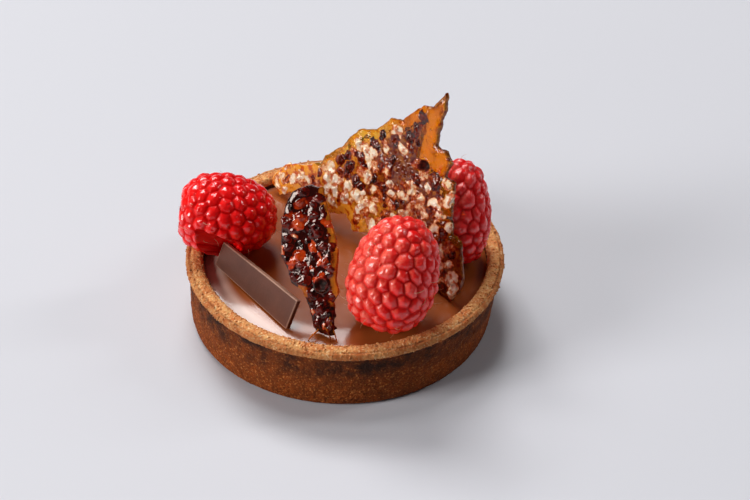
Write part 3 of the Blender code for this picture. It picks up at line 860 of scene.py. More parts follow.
def drupelets_tree(berry_form):
    """A berry's skin from its drupelets' directions: pillows pressed together along creases."""
    sizes = ("Length", "Width", "Tip Share", "Tip Fullness", "Stem Fullness")
    tree, given, result = new_tree(
        "drupelets", "GeometryNodeTree",
        [("Geometry", GEOMETRY)] + [(name, FLOAT) for name in sizes]
        + [("Crease Depth", FLOAT), ("Pillow Width", FLOAT), ("Unevenness", FLOAT),
           ("Dimple Depth", FLOAT), ("Wrinkle Depth", FLOAT), ("Hollow Radius", FLOAT),
           ("Hollow Depth", FLOAT), ("Fineness", INTEGER), ("Seed", INTEGER),
           ("Material", MATERIAL)],
        [("Geometry", GEOMETRY)])
    place = add_node(tree, "GeometryNodeInputPosition").outputs[0]
    form = add_node(tree, "GeometryNodeGroup", node_tree=berry_form)
    tree.links.new(place, form.inputs["Direction"])
    for name in sizes:
        tree.links.new(given[name], form.inputs[name])

    def on_berry(geometry):
        return add_node(tree, "GeometryNodeSetPosition", {
            "Geometry": geometry, "Position": form.outputs[0]}).outputs[0]

    hull = add_node(tree, "GeometryNodeConvexHull", {0: given["Geometry"]}).outputs[0]
    creases = on_berry(add_node(tree, "GeometryNodeDualMesh", {0: hull}).outputs[0])
    middles = on_berry(hull)
    ball = add_node(tree, "GeometryNodeMeshIcoSphere", {"Radius": 1.0,
                                                        "Subdivisions": given["Fineness"]})
    skin = on_berry(ball.outputs[0])
    to_crease = add_node(tree, "GeometryNodeProximity", {0: creases}, target_element="EDGES")
    away = math_node(tree, "SUBTRACT", 1.0, math_node(
        tree, "MINIMUM", 1.0,
        math_node(tree, "DIVIDE", to_crease.outputs["Distance"], given["Pillow Width"])))
    fall = math_node(tree, "SUBTRACT", 1.0, math_node(
        tree, "SQRT", math_node(tree, "SUBTRACT", 1.0,
                                math_node(tree, "MULTIPLY", math_node(tree, "POWER", away, 2.0),
                                          0.985))))
    nearest = add_node(tree, "GeometryNodeSampleNearest", {0: middles}).outputs[0]
    chance = add_node(tree, "FunctionNodeRandomValue", {2: 0.0, 3: 1.0, "ID": nearest,
                                                        "Seed": given["Seed"]}).outputs[1]
    split = add_node(tree, "ShaderNodeSeparateXYZ", {0: place}).outputs
    from_axis = vector_node(tree, "LENGTH", vector_node(tree, "MULTIPLY", place,
                                                        (1.0, 1.0, 0.0)), output=1)
    in_hollow = math_node(
        tree, "MULTIPLY", math_node(tree, "LESS_THAN", split["Z"], 0.0),
        ramp_between(tree, math_node(tree, "SUBTRACT", from_axis, given["Hollow Radius"]),
                     0.5, -0.7))
    swell = math_node(tree, "MULTIPLY", math_node(tree, "SUBTRACT", chance, 0.6),
                      given["Unevenness"])
    swell = math_node(tree, "MULTIPLY", swell, math_node(tree, "SUBTRACT", 1.0, fall))
    height = math_node(tree, "SUBTRACT", swell,
                       math_node(tree, "MULTIPLY", fall, given["Crease Depth"]))
    centre = add_node(tree, "GeometryNodeSampleIndex", {
        0: middles, "Value": place, "Index": nearest}, data_type="FLOAT_VECTOR").outputs[0]
    dimple = math_node(tree, "MULTIPLY", math_node(tree, "GREATER_THAN", chance, 0.55),
                       ramp_between(tree, vector_node(tree, "DISTANCE", place, centre, output=1),
                                    0.6, 0.05))
    height = math_node(tree, "SUBTRACT", height,
                       math_node(tree, "MULTIPLY", dimple, given["Dimple Depth"]))
    wrinkle = noise_node(tree, place, 0.8, detail=2.0, metres=False)
    height = math_node(tree, "ADD", height, math_node(
        tree, "MULTIPLY", math_node(tree, "SUBTRACT", wrinkle, 0.5), given["Wrinkle Depth"]))
    height = math_node(tree, "MULTIPLY", height, math_node(tree, "SUBTRACT", 1.0, in_hollow))
    pushed = add_node(tree, "ShaderNodeCombineXYZ", {
        "Z": math_node(tree, "MULTIPLY", in_hollow, given["Hollow Depth"])}).outputs[0]

    def stored(geometry, name, value):
        return add_node(tree, "GeometryNodeStoreNamedAttribute", {
            "Geometry": geometry, "Name": name, "Value": value}).outputs[0]

    skin = stored(stored(stored(skin, "crease", fall), "drupelet", chance), "hollow", in_hollow)
    skin = stored(skin, "relief", height)
    shaped = add_node(tree, "GeometryNodeSetPosition", {"Geometry": skin, "Offset": pushed})
    return end_tree(tree, shaped, given, result)


def settle(mesh):
    """Press the berry's soft skin against the ganache, the rim and the chocolate stick."""
    points = read_points(mesh)
    foot, along, up, normal = (np.array(part) for part in stick_frame())
    length = (STICK_FOOT_RIGHT - STICK_FOOT_LEFT).length
    floor = GANACHE_TOP - 0.1
    points[:, 2] = np.maximum(points[:, 2], floor)
    on_rim = np.hypot(points[:, 0], points[:, 1]) > RIM_INNER_RADIUS - 0.3
    points[:, 2] = np.where(on_rim, np.maximum(points[:, 2], RIM_TOP + 0.1), points[:, 2])
    offset = points - foot
    beside = np.clip(np.minimum(offset @ along + 1.2, length + 1.2 - offset @ along) / 1.2, 0, 1)
    above = offset @ up - STICK_HEIGHT_RIGHT
    short = np.maximum(STICK_THICKNESS + 0.1 - offset @ normal, 0)
    share = np.clip(1.0 - above / 2.0, 0, 1) * beside
    points += normal * (short * share)[:, None]
    write_points(mesh, points)


def emboss(mesh):
    """Moves every vertex along its normal by the relief that its mesh carries."""
    relief = read_values(mesh.attributes["relief"].data, "value")
    normals = read_values(mesh.vertex_normals, "vector", 3).reshape(-1, 3)
    write_points(mesh, read_points(mesh) + normals * relief[:, None])


# middle of the widest row, direction of the tip, length and width, depth of the stem's
# hollow, of the creases and of the skin's wrinkles, and the seed of its unevenness
RASPBERRIES = {
    "raspberry_left": ((-29.6, 2.7, 25.2), (0.99, 0.02, -0.12), 24.2, 20.4, 8.0, 1.15, 0.07, 11),
    "raspberry_front": ((10.7, -23.1, 26.7), (0.24, 0.42, 0.87), 27.2, 21.2, 1.5, 1.45, 0.22, 23),
    "raspberry_right": ((26.5, 1.4, 25.9), (0.03, 0.40, 0.92), 25.8, 16.0, 1.5, 1.45, 0.22, 37),
}


def unit_vector(polar, azimuth):
    return Vector((math.sin(polar) * math.cos(azimuth), math.sin(polar) * math.sin(azimuth),
                   math.cos(polar)))


def make_raspberry(name, tree, material):
    middle, tip, length, width, hollow, crease, wrinkle, seed = RASPBERRIES[name]
    points = bpy.data.meshes.new(name + "_directions")
    points.from_pydata([unit_vector(polar, azimuth) for polar, azimuth
                        in drupelet_directions(length, width, seed)], [], [])
    mesh = grown_mesh(name, points, tree, {
        "Length": length, "Width": width, "Tip Share": TIP_SHARE, "Tip Fullness": TIP_FULLNESS,
        "Stem Fullness": STEM_FULLNESS, "Crease Depth": crease, "Pillow Width": 2.1,
        "Unevenness": 0.4, "Dimple Depth": 0.16, "Wrinkle Depth": wrinkle, "Hollow Radius": 3.4,
        "Hollow Depth": hollow, "Fineness": 7, "Seed": seed, "Material": material})
    turn = Vector((0, 0, 1)).rotation_difference(Vector(tip).normalized())
    mesh.transform(Matrix.Translation(middle) @ turn.to_matrix().to_4x4())
    settle(mesh)
    emboss(mesh)
    return add_piece(name + "_fruit", mesh, "raspberry", name)


def hairs_tree():
    """Scatters fine bent hairs on a surface."""
    tree, given, result = new_tree(
        "hairs", "GeometryNodeTree",
        [("Geometry", GEOMETRY), ("Density", FLOAT), ("Length", FLOAT), ("Radius", FLOAT),
         ("Seed", INTEGER), ("Material", MATERIAL)],
        [("Geometry", GEOMETRY)])
    crease = add_node(tree, "GeometryNodeInputNamedAttribute", {"Name": "crease"}).outputs[0]
    spots = add_node(tree, "GeometryNodeDistributePointsOnFaces", {
        "Mesh": given["Geometry"], "Seed": given["Seed"],
        "Density": math_node(tree, "MULTIPLY", given["Density"],
                             math_node(tree, "LESS_THAN", crease, 0.15))})
    bend = add_node(tree, "GeometryNodeCurveQuadraticBezier", {
        "Resolution": 6, "Start": (0.0, 0.0, -0.1), "Middle": (0.0, 0.0, 0.55),
        "End": (0.5, 0.0, 0.9)}).outputs[0]
    along = add_node(tree, "GeometryNodeSplineParameter").outputs["Factor"]
    taper = math_node(tree, "SUBTRACT", 1.0, math_node(tree, "MULTIPLY", along, 0.7))
    circle = add_node(tree, "GeometryNodeCurvePrimitiveCircle", {"Resolution": 3,
                                                                 "Radius": given["Radius"]})
    thread = add_node(tree, "GeometryNodeCurveToMesh", {
        "Curve": bend, "Profile Curve": circle.outputs[0], "Scale": taper, "Fill Caps": True})
    lean = add_node(tree, "FunctionNodeRandomValue", {
        0: (-0.9, -0.9, 0.0), 1: (0.9, 0.9, 6.3), "Seed": given["Seed"]},
        data_type="FLOAT_VECTOR")
    turn = add_node(tree, "FunctionNodeRotateRotation", {
        0: spots.outputs["Rotation"],
        1: add_node(tree, "FunctionNodeEulerToRotation", {0: lean.outputs[0]}).outputs[0]},
        rotation_space="LOCAL")
    stretch = add_node(tree, "FunctionNodeRandomValue", {2: 0.6, 3: 1.2,
                                                         "Seed": given["Seed"]}).outputs[1]
    placed = add_node(tree, "GeometryNodeInstanceOnPoints", {
        "Points": spots.outputs[0], "Instance": thread.outputs[0], "Rotation": turn.outputs[0],
        "Scale": math_node(tree, "MULTIPLY", stretch, given["Length"])})
    return end_tree(tree, placed, given, result)


def make_hairs(berry, tree, material, seed):
    mesh = grown_mesh(berry.name + "_hairs", bed_of(berry), tree, {
        "Density": 0.09, "Length": 2.2, "Radius": 0.028, "Seed": seed, "Material": material})
    return add_piece(berry.name + "_hairs", mesh, "raspberry")


# ---------------------------------------------------------------- praline brittle

def sheet_frame(foot, along, lean_towards):
    """Matrix whose X runs along the shard's foot, Y up its face, and Z square to the face."""
    x_axis = Vector(along).normalized()
    y_axis = Vector(lean_towards)
    y_axis = (y_axis - x_axis * y_axis.dot(x_axis)).normalized()
    placing = Matrix((x_axis, y_axis, x_axis.cross(y_axis))).transposed().to_4x4()
    return Matrix.Translation(foot) @ placing


def inside(point, outline):
    """Whether a point lies in the outline, by the even-odd rule."""
    within = False
    for start, end in zip(outline, outline[1:] + outline[:1]):
        if (start.y > point.y) != (end.y > point.y):
            cross = start.x + (point.y - start.y) * (end.x - start.x) / (end.y - start.y)
            within ^= point.x < cross
    return within


def edge_distance(point, outline):
    best = math.inf
    for start, end in zip(outline, outline[1:] + outline[:1]):
        side = end - start
        share = max(0.0, min(1.0, (point - start).dot(side) / side.length_squared))
        best = min(best, (point - start - side * share).length)
    return best


def points_within(outline, spacing, margin, draw, jitter):
    """A staggered grid of points inside the outline, kept off its edge by the margin."""
    low = Vector((min(point.x for point in outline), min(point.y for point in outline)))
    high = Vector((max(point.x for point in outline), max(point.y for point in outline)))
    row_step = spacing * math.sqrt(0.75)
    points = []
    for row in range(int((high.y - low.y) / row_step) + 1):
        for column in range(int((high.x - low.x) / spacing) + 2):
            shift = 0.5 * (row % 2) + draw.uniform(-jitter, jitter)
            point = Vector((low.x + spacing * (column + shift),
                            low.y + row_step * (row + draw.uniform(-jitter, jitter))))
            if inside(point, outline) and edge_distance(point, outline) > margin:
                points.append(point)
    return points


def broken_outline(outline, step, roughness):
    """The outline with its sides divided and made uneven, as a snapped edge."""
    broken = []
    for start, end in zip(outline, outline[1:] + outline[:1]):
        side = end - start
        count = max(1, round(side.length / step))
        across = Vector((side.y, -side.x)).normalized()
        for index in range(count):
            point = start + side * (index / count)
            shift = crag(Vector((point.x, point.y, 5.0)), step * 1.7) * roughness
            broken.append(point + across * shift)
    return broken


def sheet_height(point):
    """How far the brittle's middle surface swells out of its plane."""
    return SHEET_WAVE * crag(Vector((point.x, point.y, 0.0)), SHEET_WAVE_SIZE)


def sheet_mesh(name, outline, draw):
    """A wavy sheet cut to the outline, as a closed solid."""
    inner = points_within(outline, SHEET_MESH, SHEET_MESH / 2, draw, 0.1)
    edges = [(index, (index + 1) % len(outline)) for index in range(len(outline))]
    points, _, faces, *_ = delaunay_2d_cdt(outline + inner, edges, [], 1, 1e-6)
    sheet = bmesh.new()
    fronts = []
    backs = []
    for point in points:
        middle = sheet_height(point)
        thin = 0.6 if edge_distance(point, outline) < 0.2 else 1.0
        uneven = 1.0 + 0.3 * crag(Vector((point.x, point.y, 38.0)), 4.0)
        half = SHEET_THICKNESS / 2 * thin * uneven
        fronts.append(sheet.verts.new((point.x, point.y, middle - half)))
        backs.append(sheet.verts.new((point.x, point.y, middle + half)))
    for face in faces:
        sheet.faces.new([fronts[index] for index in face])
        sheet.faces.new([backs[index] for index in reversed(face)])
    bmesh.ops.bridge_loops(sheet, edges=[edge for edge in sheet.edges if edge.is_boundary])
    bmesh.ops.triangulate(sheet, faces=sheet.faces)
    bmesh.ops.recalc_face_normals(sheet, faces=sheet.faces)
    return shape_mesh(name, sheet)


NUT_SHAPES = 6
NUT_CORNERS = 11
NUT_FLATNESS = 0.85                 # its height as a share of its width
NUT_TALLEST = 1.9


def nut_shapes(seed):
    """A collection of a few many-sided lumps, as nuts chopped with a knife."""
    draw = random.Random(seed)
    shapes = bpy.data.collections.new("nut_shapes")
    for number in range(NUT_SHAPES):
        lump = bmesh.new()
        for _ in range(NUT_CORNERS):
            spot = Vector((draw.gauss(0, 1), draw.gauss(0, 1), draw.gauss(0, 1))).normalized()
            lump.verts.new(spot * draw.uniform(0.42, 0.55))
        hull = bmesh.ops.convex_hull(lump, input=lump.verts)
        loose = [item for item in hull["geom_interior"] if isinstance(item, bmesh.types.BMVert)]
        bmesh.ops.delete(lump, geom=loose, context="VERTS")
        bmesh.ops.recalc_face_normals(lump, faces=lump.faces)
        shapes.objects.link(bpy.data.objects.new(f"nut_{number}", shape_mesh("nut", lump)))
    return shapes


def nut_setting_tree(shapes):
    """Sets chopped nuts into a sheet, one at each point of another object."""
    tree, given, result = new_tree(
        "nut_setting", "GeometryNodeTree",
        [("Geometry", GEOMETRY), ("Nut Places", OBJECT), ("Material", MATERIAL)],
        [("Geometry", GEOMETRY)])
    places = add_node(tree, "GeometryNodeObjectInfo", {"Object": given["Nut Places"]})
    kinds = add_node(tree, "GeometryNodeCollectionInfo", {
        "Collection": shapes, "Separate Children": True, "Reset Children": True})

    def named(name, data_type):
        return add_node(tree, "GeometryNodeInputNamedAttribute", {"Name": name},
                        data_type=data_type).outputs[0]

    placed = add_node(tree, "GeometryNodeInstanceOnPoints", {
        "Points": places.outputs["Geometry"], "Instance": kinds.outputs[0],
        "Pick Instance": True, "Instance Index": named("nut_shape", "INT"),
        "Rotation": add_node(tree, "FunctionNodeEulerToRotation", {
            0: named("nut_turn", "FLOAT_VECTOR")}).outputs[0],
        "Scale": named("nut_size", "FLOAT_VECTOR")})
    joined = add_node(tree, "GeometryNodeJoinGeometry")
    tree.links.new(placed.outputs[0], joined.inputs[0])
    tree.links.new(given["Geometry"], joined.inputs[0])
    return end_tree(tree, joined, given, result)


class Nut:
    """One chopped nut in the sheet's frame; its side is 1 on the sheet's back face, else -1."""

    def __init__(self, place, length, width, turn, tone, side, draw):
        self.flat = place.copy()
        self.length = length
        self.width = width
        self.height = min(width * NUT_FLATNESS, NUT_TALLEST)
        self.angle = turn
        self.tone = tone
        self.side = side
        self.lift = SHEET_THICKNESS * 0.42 - self.height * 0.1
        self.turn = (draw.uniform(-0.3, 0.3), draw.uniform(-0.3, 0.3), turn)
        self.shape = draw.randrange(NUT_SHAPES)

    def reach(self, x, y):
        """0 at the nut's middle and 1 on its rim, seen square to the sheet."""
        across = x - self.flat.x
        up = y - self.flat.y
        along = across * math.cos(self.angle) + up * math.sin(self.angle)
        aside = up * math.cos(self.angle) - across * math.sin(self.angle)
        return np.hypot(along / (self.length / 2), aside / (self.width / 2))

    def place(self):
        return (self.flat.x, self.flat.y, sheet_height(self.flat) + self.side * self.lift)


def set_nuts(outline, front, large, small, tone_at, bare_at, draw):
    """Large nuts on the front, small ones between them, and small ones on the back.

    Large and small each give the spacing of the nuts and their least and greatest size.
    """
    nuts = []
    for side, (spacing, least, greatest) in ((front, large), (front, small), (-front, small)):
        set_already = [nut for nut in nuts if nut.side == side]
        for point in points_within(outline, spacing, least * 0.3, draw, 0.35):
            size = draw.uniform(least, greatest)
            taken = any(nut.reach(point.x, point.y) < 1.15 for nut in set_already)
            if taken or bare_at(point):
                continue
            nuts.append(Nut(point, size * draw.uniform(1.0, 1.5), size * draw.uniform(0.65, 1.0),
                            draw.uniform(0, math.tau), tone_at(point, size, draw), side, draw))
    return nuts[::-1]


def nut_places(name, nuts):
    mesh = bpy.data.meshes.new(name)
    mesh.from_pydata([nut.place() for nut in nuts], [], [])
    turns = mesh.attributes.new("nut_turn", "FLOAT_VECTOR", "POINT")
    turns.data.foreach_set("vector", [value for nut in nuts for value in nut.turn])
    sizes = mesh.attributes.new("nut_size", "FLOAT_VECTOR", "POINT")
    sizes.data.foreach_set("vector", [value for nut in nuts
                                      for value in (nut.length, nut.width, nut.height)])
    kinds = mesh.attributes.new("nut_shape", "INT", "POINT")
    kinds.data.foreach_set("value", [nut.shape for nut in nuts])
    return link(name, mesh)


def nut_cover(points, height, nuts):
    """How much each point is nut, from 0 to 1, and the tone of the nut that shows there."""
    points = points + np.array([noise.noise_vector(Vector(point) / 1.1) for point in points]) * 0.55
    cover = np.zeros(len(points))
    tone = np.full(len(points), 0.3)
    for nut in nuts:
        close = np.abs(points[:, 0] - nut.flat.x) < nut.length * 0.7
        close &= np.abs(points[:, 1] - nut.flat.y) < nut.length * 0.7
        close &= nut.side * height > -0.1
        spots = np.flatnonzero(close)
        reach = nut.reach(points[spots, 0], points[spots, 1])
        share = np.clip((1.12 - reach) / 0.25, 0, 1)
        # each nut turns darker towards its rim: partly a painted shade where it dips into the
        # sheet, partly its browner skin
        rim_shaded_tone = nut.tone * (1.15 - 0.4 * np.clip(reach, 0, 1) ** 2)
        tone[spots] += (rim_shaded_tone - tone[spots]) * share
        cover[spots] = np.maximum(cover[spots], share)
    return cover, tone


def press_bubbles(points, height, bubbles, front):
    """Dents with a raised rim, where bubbles burst in the hot sugar; returns their shade."""
    shade = np.zeros(len(points))
    for x, y, radius, depth, lip in bubbles:
        reach = np.hypot(points[:, 0] - x, points[:, 1] - y) / radius
        facing = front * height > -0.2
        dent = depth * np.clip(1.0 - reach ** 2, 0, 1)
        ring = lip * np.exp(-((reach - 1.05) / 0.22) ** 2)
        points[:, 2] += front * facing * (ring - dent)
        darkness = min(1.0, 1.2 * max(0.0, depth - 0.2))
        shade = np.maximum(shade, facing * np.clip(1.3 - reach, 0, 1) * darkness)
    return shade


def make_brittle(name, outline, placing, front, nuts, bubbles, looks, flow, trees, materials,
                 seed):
    """One shard: sheet and nuts flowed together, dented by bubbles, coloured and placed."""
    draw = random.Random(seed)
    easing, crag_size, crag_depth, grain_depth = flow
    clear_at, honey_at = looks
    setting, rough = trees
    edge = broken_outline(outline, 1.0, 0.5)
    carrier = link(name, sheet_mesh(name, edge, draw))
    places = nut_places(name + "_nuts", nuts)
    add_tree_modifier(carrier, setting, {"Nut Places": places, "Material": materials[0]})
    add_skin(carrier, "flowed", VOXEL)
    eased = carrier.modifiers.new("eased", "SMOOTH")
    eased.factor = 0.5
    eased.iterations = easing
    mesh = plain_mesh(carrier)
    bpy.data.objects.remove(places, do_unlink=True)
    points = read_points(mesh)
    height = points[:, 2] - np.array([sheet_height(Vector(point)) for point in points])
    cover, tone = nut_cover(points, height, nuts)
    shade = press_bubbles(points, height, bubbles, front)
    cover = np.maximum(cover, np.clip(shade * 1.5, 0, 1))
    write_points(mesh, points)
    clear = np.array([clear_at(Vector(point[:2])) for point in points])
    write_attribute(mesh, "relief", 0.35 + 0.65 * np.clip(cover - shade, 0, 1))
    mesh = grown_mesh(name, mesh, rough, {
        "Crag Size": crag_size, "Crag Depth": crag_depth, "Grain Size": 0.9,
        "Grain Depth": grain_depth, "Pit Size": 0.9, "Pit Depth": grain_depth * 0.75,
        "Material": materials[0]})
    write_attribute(mesh, "hole", shade)
    write_attribute(mesh, "tone", tone * (1.0 - shade))
    write_attribute(mesh, "cover", cover)
    write_attribute(mesh, "clear", np.clip(clear - shade, 0, 1))
    write_attribute(mesh, "honey", [honey_at(Vector(point[:2])) for point in points])
    paint(mesh, *materials)
    corners = read_values(mesh.loops, "vertex_index", kind=np.int32)
    starts = read_values(mesh.polygons, "loop_start", kind=np.int32)
    opaque = np.maximum(cover, (clear < 0.5) | (shade > 0.1))[corners[starts]] > 0.45
    mesh.polygons.foreach_set("material_index", opaque.astype(np.int32))
    mesh.transform(placing)
    return add_piece(name + "_set", mesh, "praline_brittle", name)


LARGE_SHARD_OUTLINE = [Vector(point) for point in (
    (0.0, -0.8), (-1.8, 3.4), (-1.6, 5.8), (0.6, 10.8), (2.4, 13.4), (4.9, 13.8), (6.3, 18.3),
    (7.9, 25.9), (10.9, 25.8), (10.3, 29.6), (12.3, 31.8), (15.3, 32.0), (15.7, 37.0),
    (15.4, 40.8), (16.4, 44.7), (19.0, 40.2), (21.8, 39.3), (26.7, 33.3), (30.0, 32.3),
    (33.9, 27.7), (38.6, 25.6), (42.1, 19.5), (46.4, 15.2), (47.3, 12.6), (53.1, 9.4),
    (58.0, 7.1), (61.2, 2.5), (60.5, 0.9), (57.2, -0.9), (54.1, 1.4), (46.9, 1.3), (40.0, 2.3),
    (35.6, 4.5), (32.3, 1.2), (27.9, 3.1), (17.6, 2.3), (4.2, -0.8))]
LARGE_SHARD_FRAME = sheet_frame((25.0, -16.2, 16.4), (-0.717, 0.697, 0.0), (-0.04, 0.45, 0.89))
# x, y, radius, depth, height of the lip
LARGE_SHARD_BUBBLES = [(17.2, 25.9, 1.6, 1.4, 0.2), (13.4, 34.2, 0.5, 0.3, 0.1),
                       (14.6, 30.2, 0.45, 0.3, 0.1), (17.5, 35.5, 0.5, 0.3, 0.1),
                       (22.5, 22.8, 0.7, 0.35, 0.12), (21.2, 24.0, 0.5, 0.3, 0.1),
                       (23.9, 23.6, 0.45, 0.3, 0.1), (21.6, 21.5, 0.5, 0.3, 0.1),
                       (23.8, 21.7, 0.6, 0.3, 0.1), (25.1, 22.6, 0.4, 0.25, 0.1),
                       (20.2, 22.6, 0.4, 0.25, 0.1), (22.7, 25.1, 0.4, 0.25, 0.1),
                       (14.0, 25.8, 0.45, 0.25, 0.1), (12.8, 26.8, 0.35, 0.2, 0.08),
                       (15.0, 24.6, 0.35, 0.2, 0.08), (13.2, 24.7, 0.3, 0.2, 0.08),
                       (19.8, 20.9, 0.35, 0.2, 0.08), (24.9, 24.4, 0.35, 0.2, 0.08)]

SMALL_SHARD_OUTLINE = [Vector(point) for point in (
    (0.0, 0.0), (1.9, 0.6), (0.8, 4.1), (1.4, 5.0), (-0.1, 8.1), (0.8, 9.7), (-0.5, 13.5),
    (-1.0, 18.2), (-2.9, 22.8), (-6.1, 28.5), (-8.5, 33.0), (-12.1, 32.3), (-15.1, 30.0),
    (-16.3, 26.0), (-16.0, 21.9), (-14.8, 15.1), (-13.0, 12.7), (-11.0, 9.4), (-7.8, 8.7),
    (-4.4, 3.4), (-3.7, 1.0), (-2.6, 0.3))]
SMALL_SHARD_FRAME = sheet_frame((-4.0, -29.7, 15.8), (0.92, -0.39, 0.0), (0.195, 0.46, 0.866))
SMALL_SHARD_BUBBLES = [(-3.5, 11.3, 1.5, 0.9, 0.5), (-7.5, 23.6, 0.6, 0.5, 0.15)]


# a thread's points in the frame of the tart, thick to thin
CARAMEL_THREADS = [
    [(-3.4, -28.3, 20.1), (-2.9, -29.4, 18.6), (-2.2, -30.4, 16.9), (-1.6, -31.1, 14.9)],
    [(-5.9, -29.0, 17.0), (-6.6, -29.7, 16.6), (-7.5, -30.3, 16.0), (-8.3, -30.7, 14.8)],
    [(-4.6, -29.3, 18.2), (-3.8, -30.2, 17.4), (-3.3, -30.7, 16.2), (-3.2, -31.0, 14.9)]]


def make_threads(caramel):
    """Fine threads of caramel that ran from the foot of the small shard."""
    curve = bpy.data.curves.new("threads", "CURVE")
    curve.dimensions = "3D"
    curve.bevel_depth = 0.17
    curve.bevel_resolution = 2
    curve.use_fill_caps = True
    for points in CARAMEL_THREADS:
        spline = curve.splines.new("BEZIER")
        spline.bezier_points.add(len(points) - 1)
        for knot, place in zip(spline.bezier_points, points):
            knot.co = place
            knot.handle_left_type = "AUTO"
            knot.handle_right_type = "AUTO"
        spline.bezier_points[-1].radius = 0.4
    mesh = plain_mesh(link("threads", curve))
    write_attribute(mesh, "clear", np.full(len(mesh.vertices), 0.7))
    paint(mesh, caramel)
    return add_piece("caramel_threads", mesh, "praline_brittle")


def make_shards(rough):
    shapes = nut_shapes(3)
    trees = (nut_setting_tree(shapes), rough)

    def large_tone(point, size, draw):
        burnt = point.x < 42 and (point.y > 12 or point.x < 12)
        pale = (0.45 if size > 2.2 else 0.05) if burnt else 0.4 + 0.5 * point.x / 61
        dark = 0.6 if burnt else 0.4
        brown = draw.uniform(0.03, 0.25) if draw.random() < dark else draw.uniform(0.35, 0.62)
        return draw.uniform(0.7, 1.0) if draw.random() < pale else brown

    def large_bare(point):
        amber_corner = point.y > 25.5 and point.x < 20.5
        bubbly = (point - Vector((22.5, 22.8))).length < 3.6
        edge = edge_distance(point, LARGE_SHARD_OUTLINE) < 2.0 and 20.0 < point.x < 55.0
        return amber_corner or bubbly or edge

    def large_clear(point):
        top = edge_share(point, LARGE_SHARD_OUTLINE, 4.5) * (point.y > 12)
        if point.y > 24 and point.x < 20:
            return 1.0 - 0.75 * edge_share(point, LARGE_SHARD_OUTLINE, 1.3)
        burnt = point.x < 32 and (point.y > 12 or point.x < 12)
        return max(min(1.0, top * 1.3), 0.2 if burnt else 0.42)

    def small_tone(point, size, draw):
        red = draw.random() < 0.4 and point.y > 12
        pale = draw.random() < 0.2 and size < 1.9
        brown = draw.uniform(0.28, 0.55) if red else draw.uniform(0.0, 0.2)
        return draw.uniform(0.75, 0.9) if pale else brown

    def small_bare(point):
        return point.x > -1.2 - (point.y - 12) * 0.19 and point.y > 7

    def large_honey(point):
        left = min(1.0, max(0.0, (point.x - 26.0) / 8.0))
        return left * min(1.0, 1.5 * edge_share(point, LARGE_SHARD_OUTLINE, 4.5) + 0.15)

    def small_clear(point):
        strip = min(1.0, 1.4 * edge_share(point, SMALL_SHARD_OUTLINE, 1.8) * (point.x > -9))
        return strip * min(1.0, max(0.0, (point.y - 6.0) / 3.0))

    def small_honey(point):
        return 0.0

    clear_amber = caramel_finish("caramel_amber", linear(150, 46, 0), linear(255, 140, 4),
                                 linear(255, 188, 56), 0.8)
    red_amber = caramel_finish("caramel_red", linear(160, 48, 6), linear(255, 150, 44),
                               linear(255, 190, 90), 0.6)
    large_praline = praline_finish("praline_golden", linear(116, 44, 8), linear(240, 156, 44), (
        (0.0, linear(40, 8, 3)), (0.25, linear(112, 28, 10)), (0.5, linear(206, 98, 34)),
        (0.75, linear(255, 214, 160)), (1.0, linear(255, 242, 216))), 0.3, 0.9, 0.09)
    small_praline = praline_finish("praline_dark", linear(48, 6, 3), linear(220, 92, 18), (
        (0.0, linear(24, 4, 2)), (0.25, linear(110, 14, 4)), (0.5, linear(210, 64, 10)),
        (0.75, linear(206, 96, 52)), (1.0, linear(255, 206, 164))), 0.2, 0.5, 0.05)
    draw = random.Random(12)
    nuts = set_nuts(LARGE_SHARD_OUTLINE, -1, (3.3, 2.3, 3.9), (2.1, 1.4, 2.4), large_tone,
                    large_bare, draw)
    make_brittle("praline_shard_large", LARGE_SHARD_OUTLINE, LARGE_SHARD_FRAME, -1, nuts,
                 LARGE_SHARD_BUBBLES, (large_clear, large_honey), (1, 1.6, 0.2, 0.16), trees,
                 (clear_amber, large_praline), 5)
    nuts = set_nuts(SMALL_SHARD_OUTLINE, 1, (3.2, 2.0, 3.4), (2.3, 1.2, 2.2), small_tone,
                    small_bare, draw)
    make_brittle("praline_shard_small", SMALL_SHARD_OUTLINE, SMALL_SHARD_FRAME, 1, nuts,
                 SMALL_SHARD_BUBBLES, (small_clear, small_honey), (8, 2.2, 0.35, 0.05), trees,
                 (red_amber, small_praline), 8)
    make_threads(red_amber)
    for shape in list(shapes.objects):
        bpy.data.objects.remove(shape, do_unlink=True)
    bpy.data.collections.remove(shapes)


def edge_share(point, outline, reach):
    """1 on the outline, falling to 0 at the reach inside it."""
    return max(0.0, 1.0 - edge_distance(point, outline) / reach)


# ---------------------------------------------------------------- floor, light and camera

FLOOR_HALF = 3.0                    # metres, as are the sizes of the softboxes
SOFTBOX_DISTANCE = 3.0

# azimuth (0 at the back, negative to the left), elevation, roll, width, height, radiance
SOFTBOXES = {
    "back_softbox": (-20.0, 51.5, 16.0, 1.5, 1.0, 9.5),
    "back_left_softbox": (-35.0, 40.0, 0.0, 1.2, 0.45, 9.5),
    "overhead_softbox": (-20.0, 75.0, 0.0, 0.6, 0.6, 11.0),
    "left_softbox": (-111.0, 25.0, 0.0, 1.0, 1.3, 14.5),
    "right_softbox": (75.0, 35.0, 0.0, 0.4, 1.2, 9.0),
}


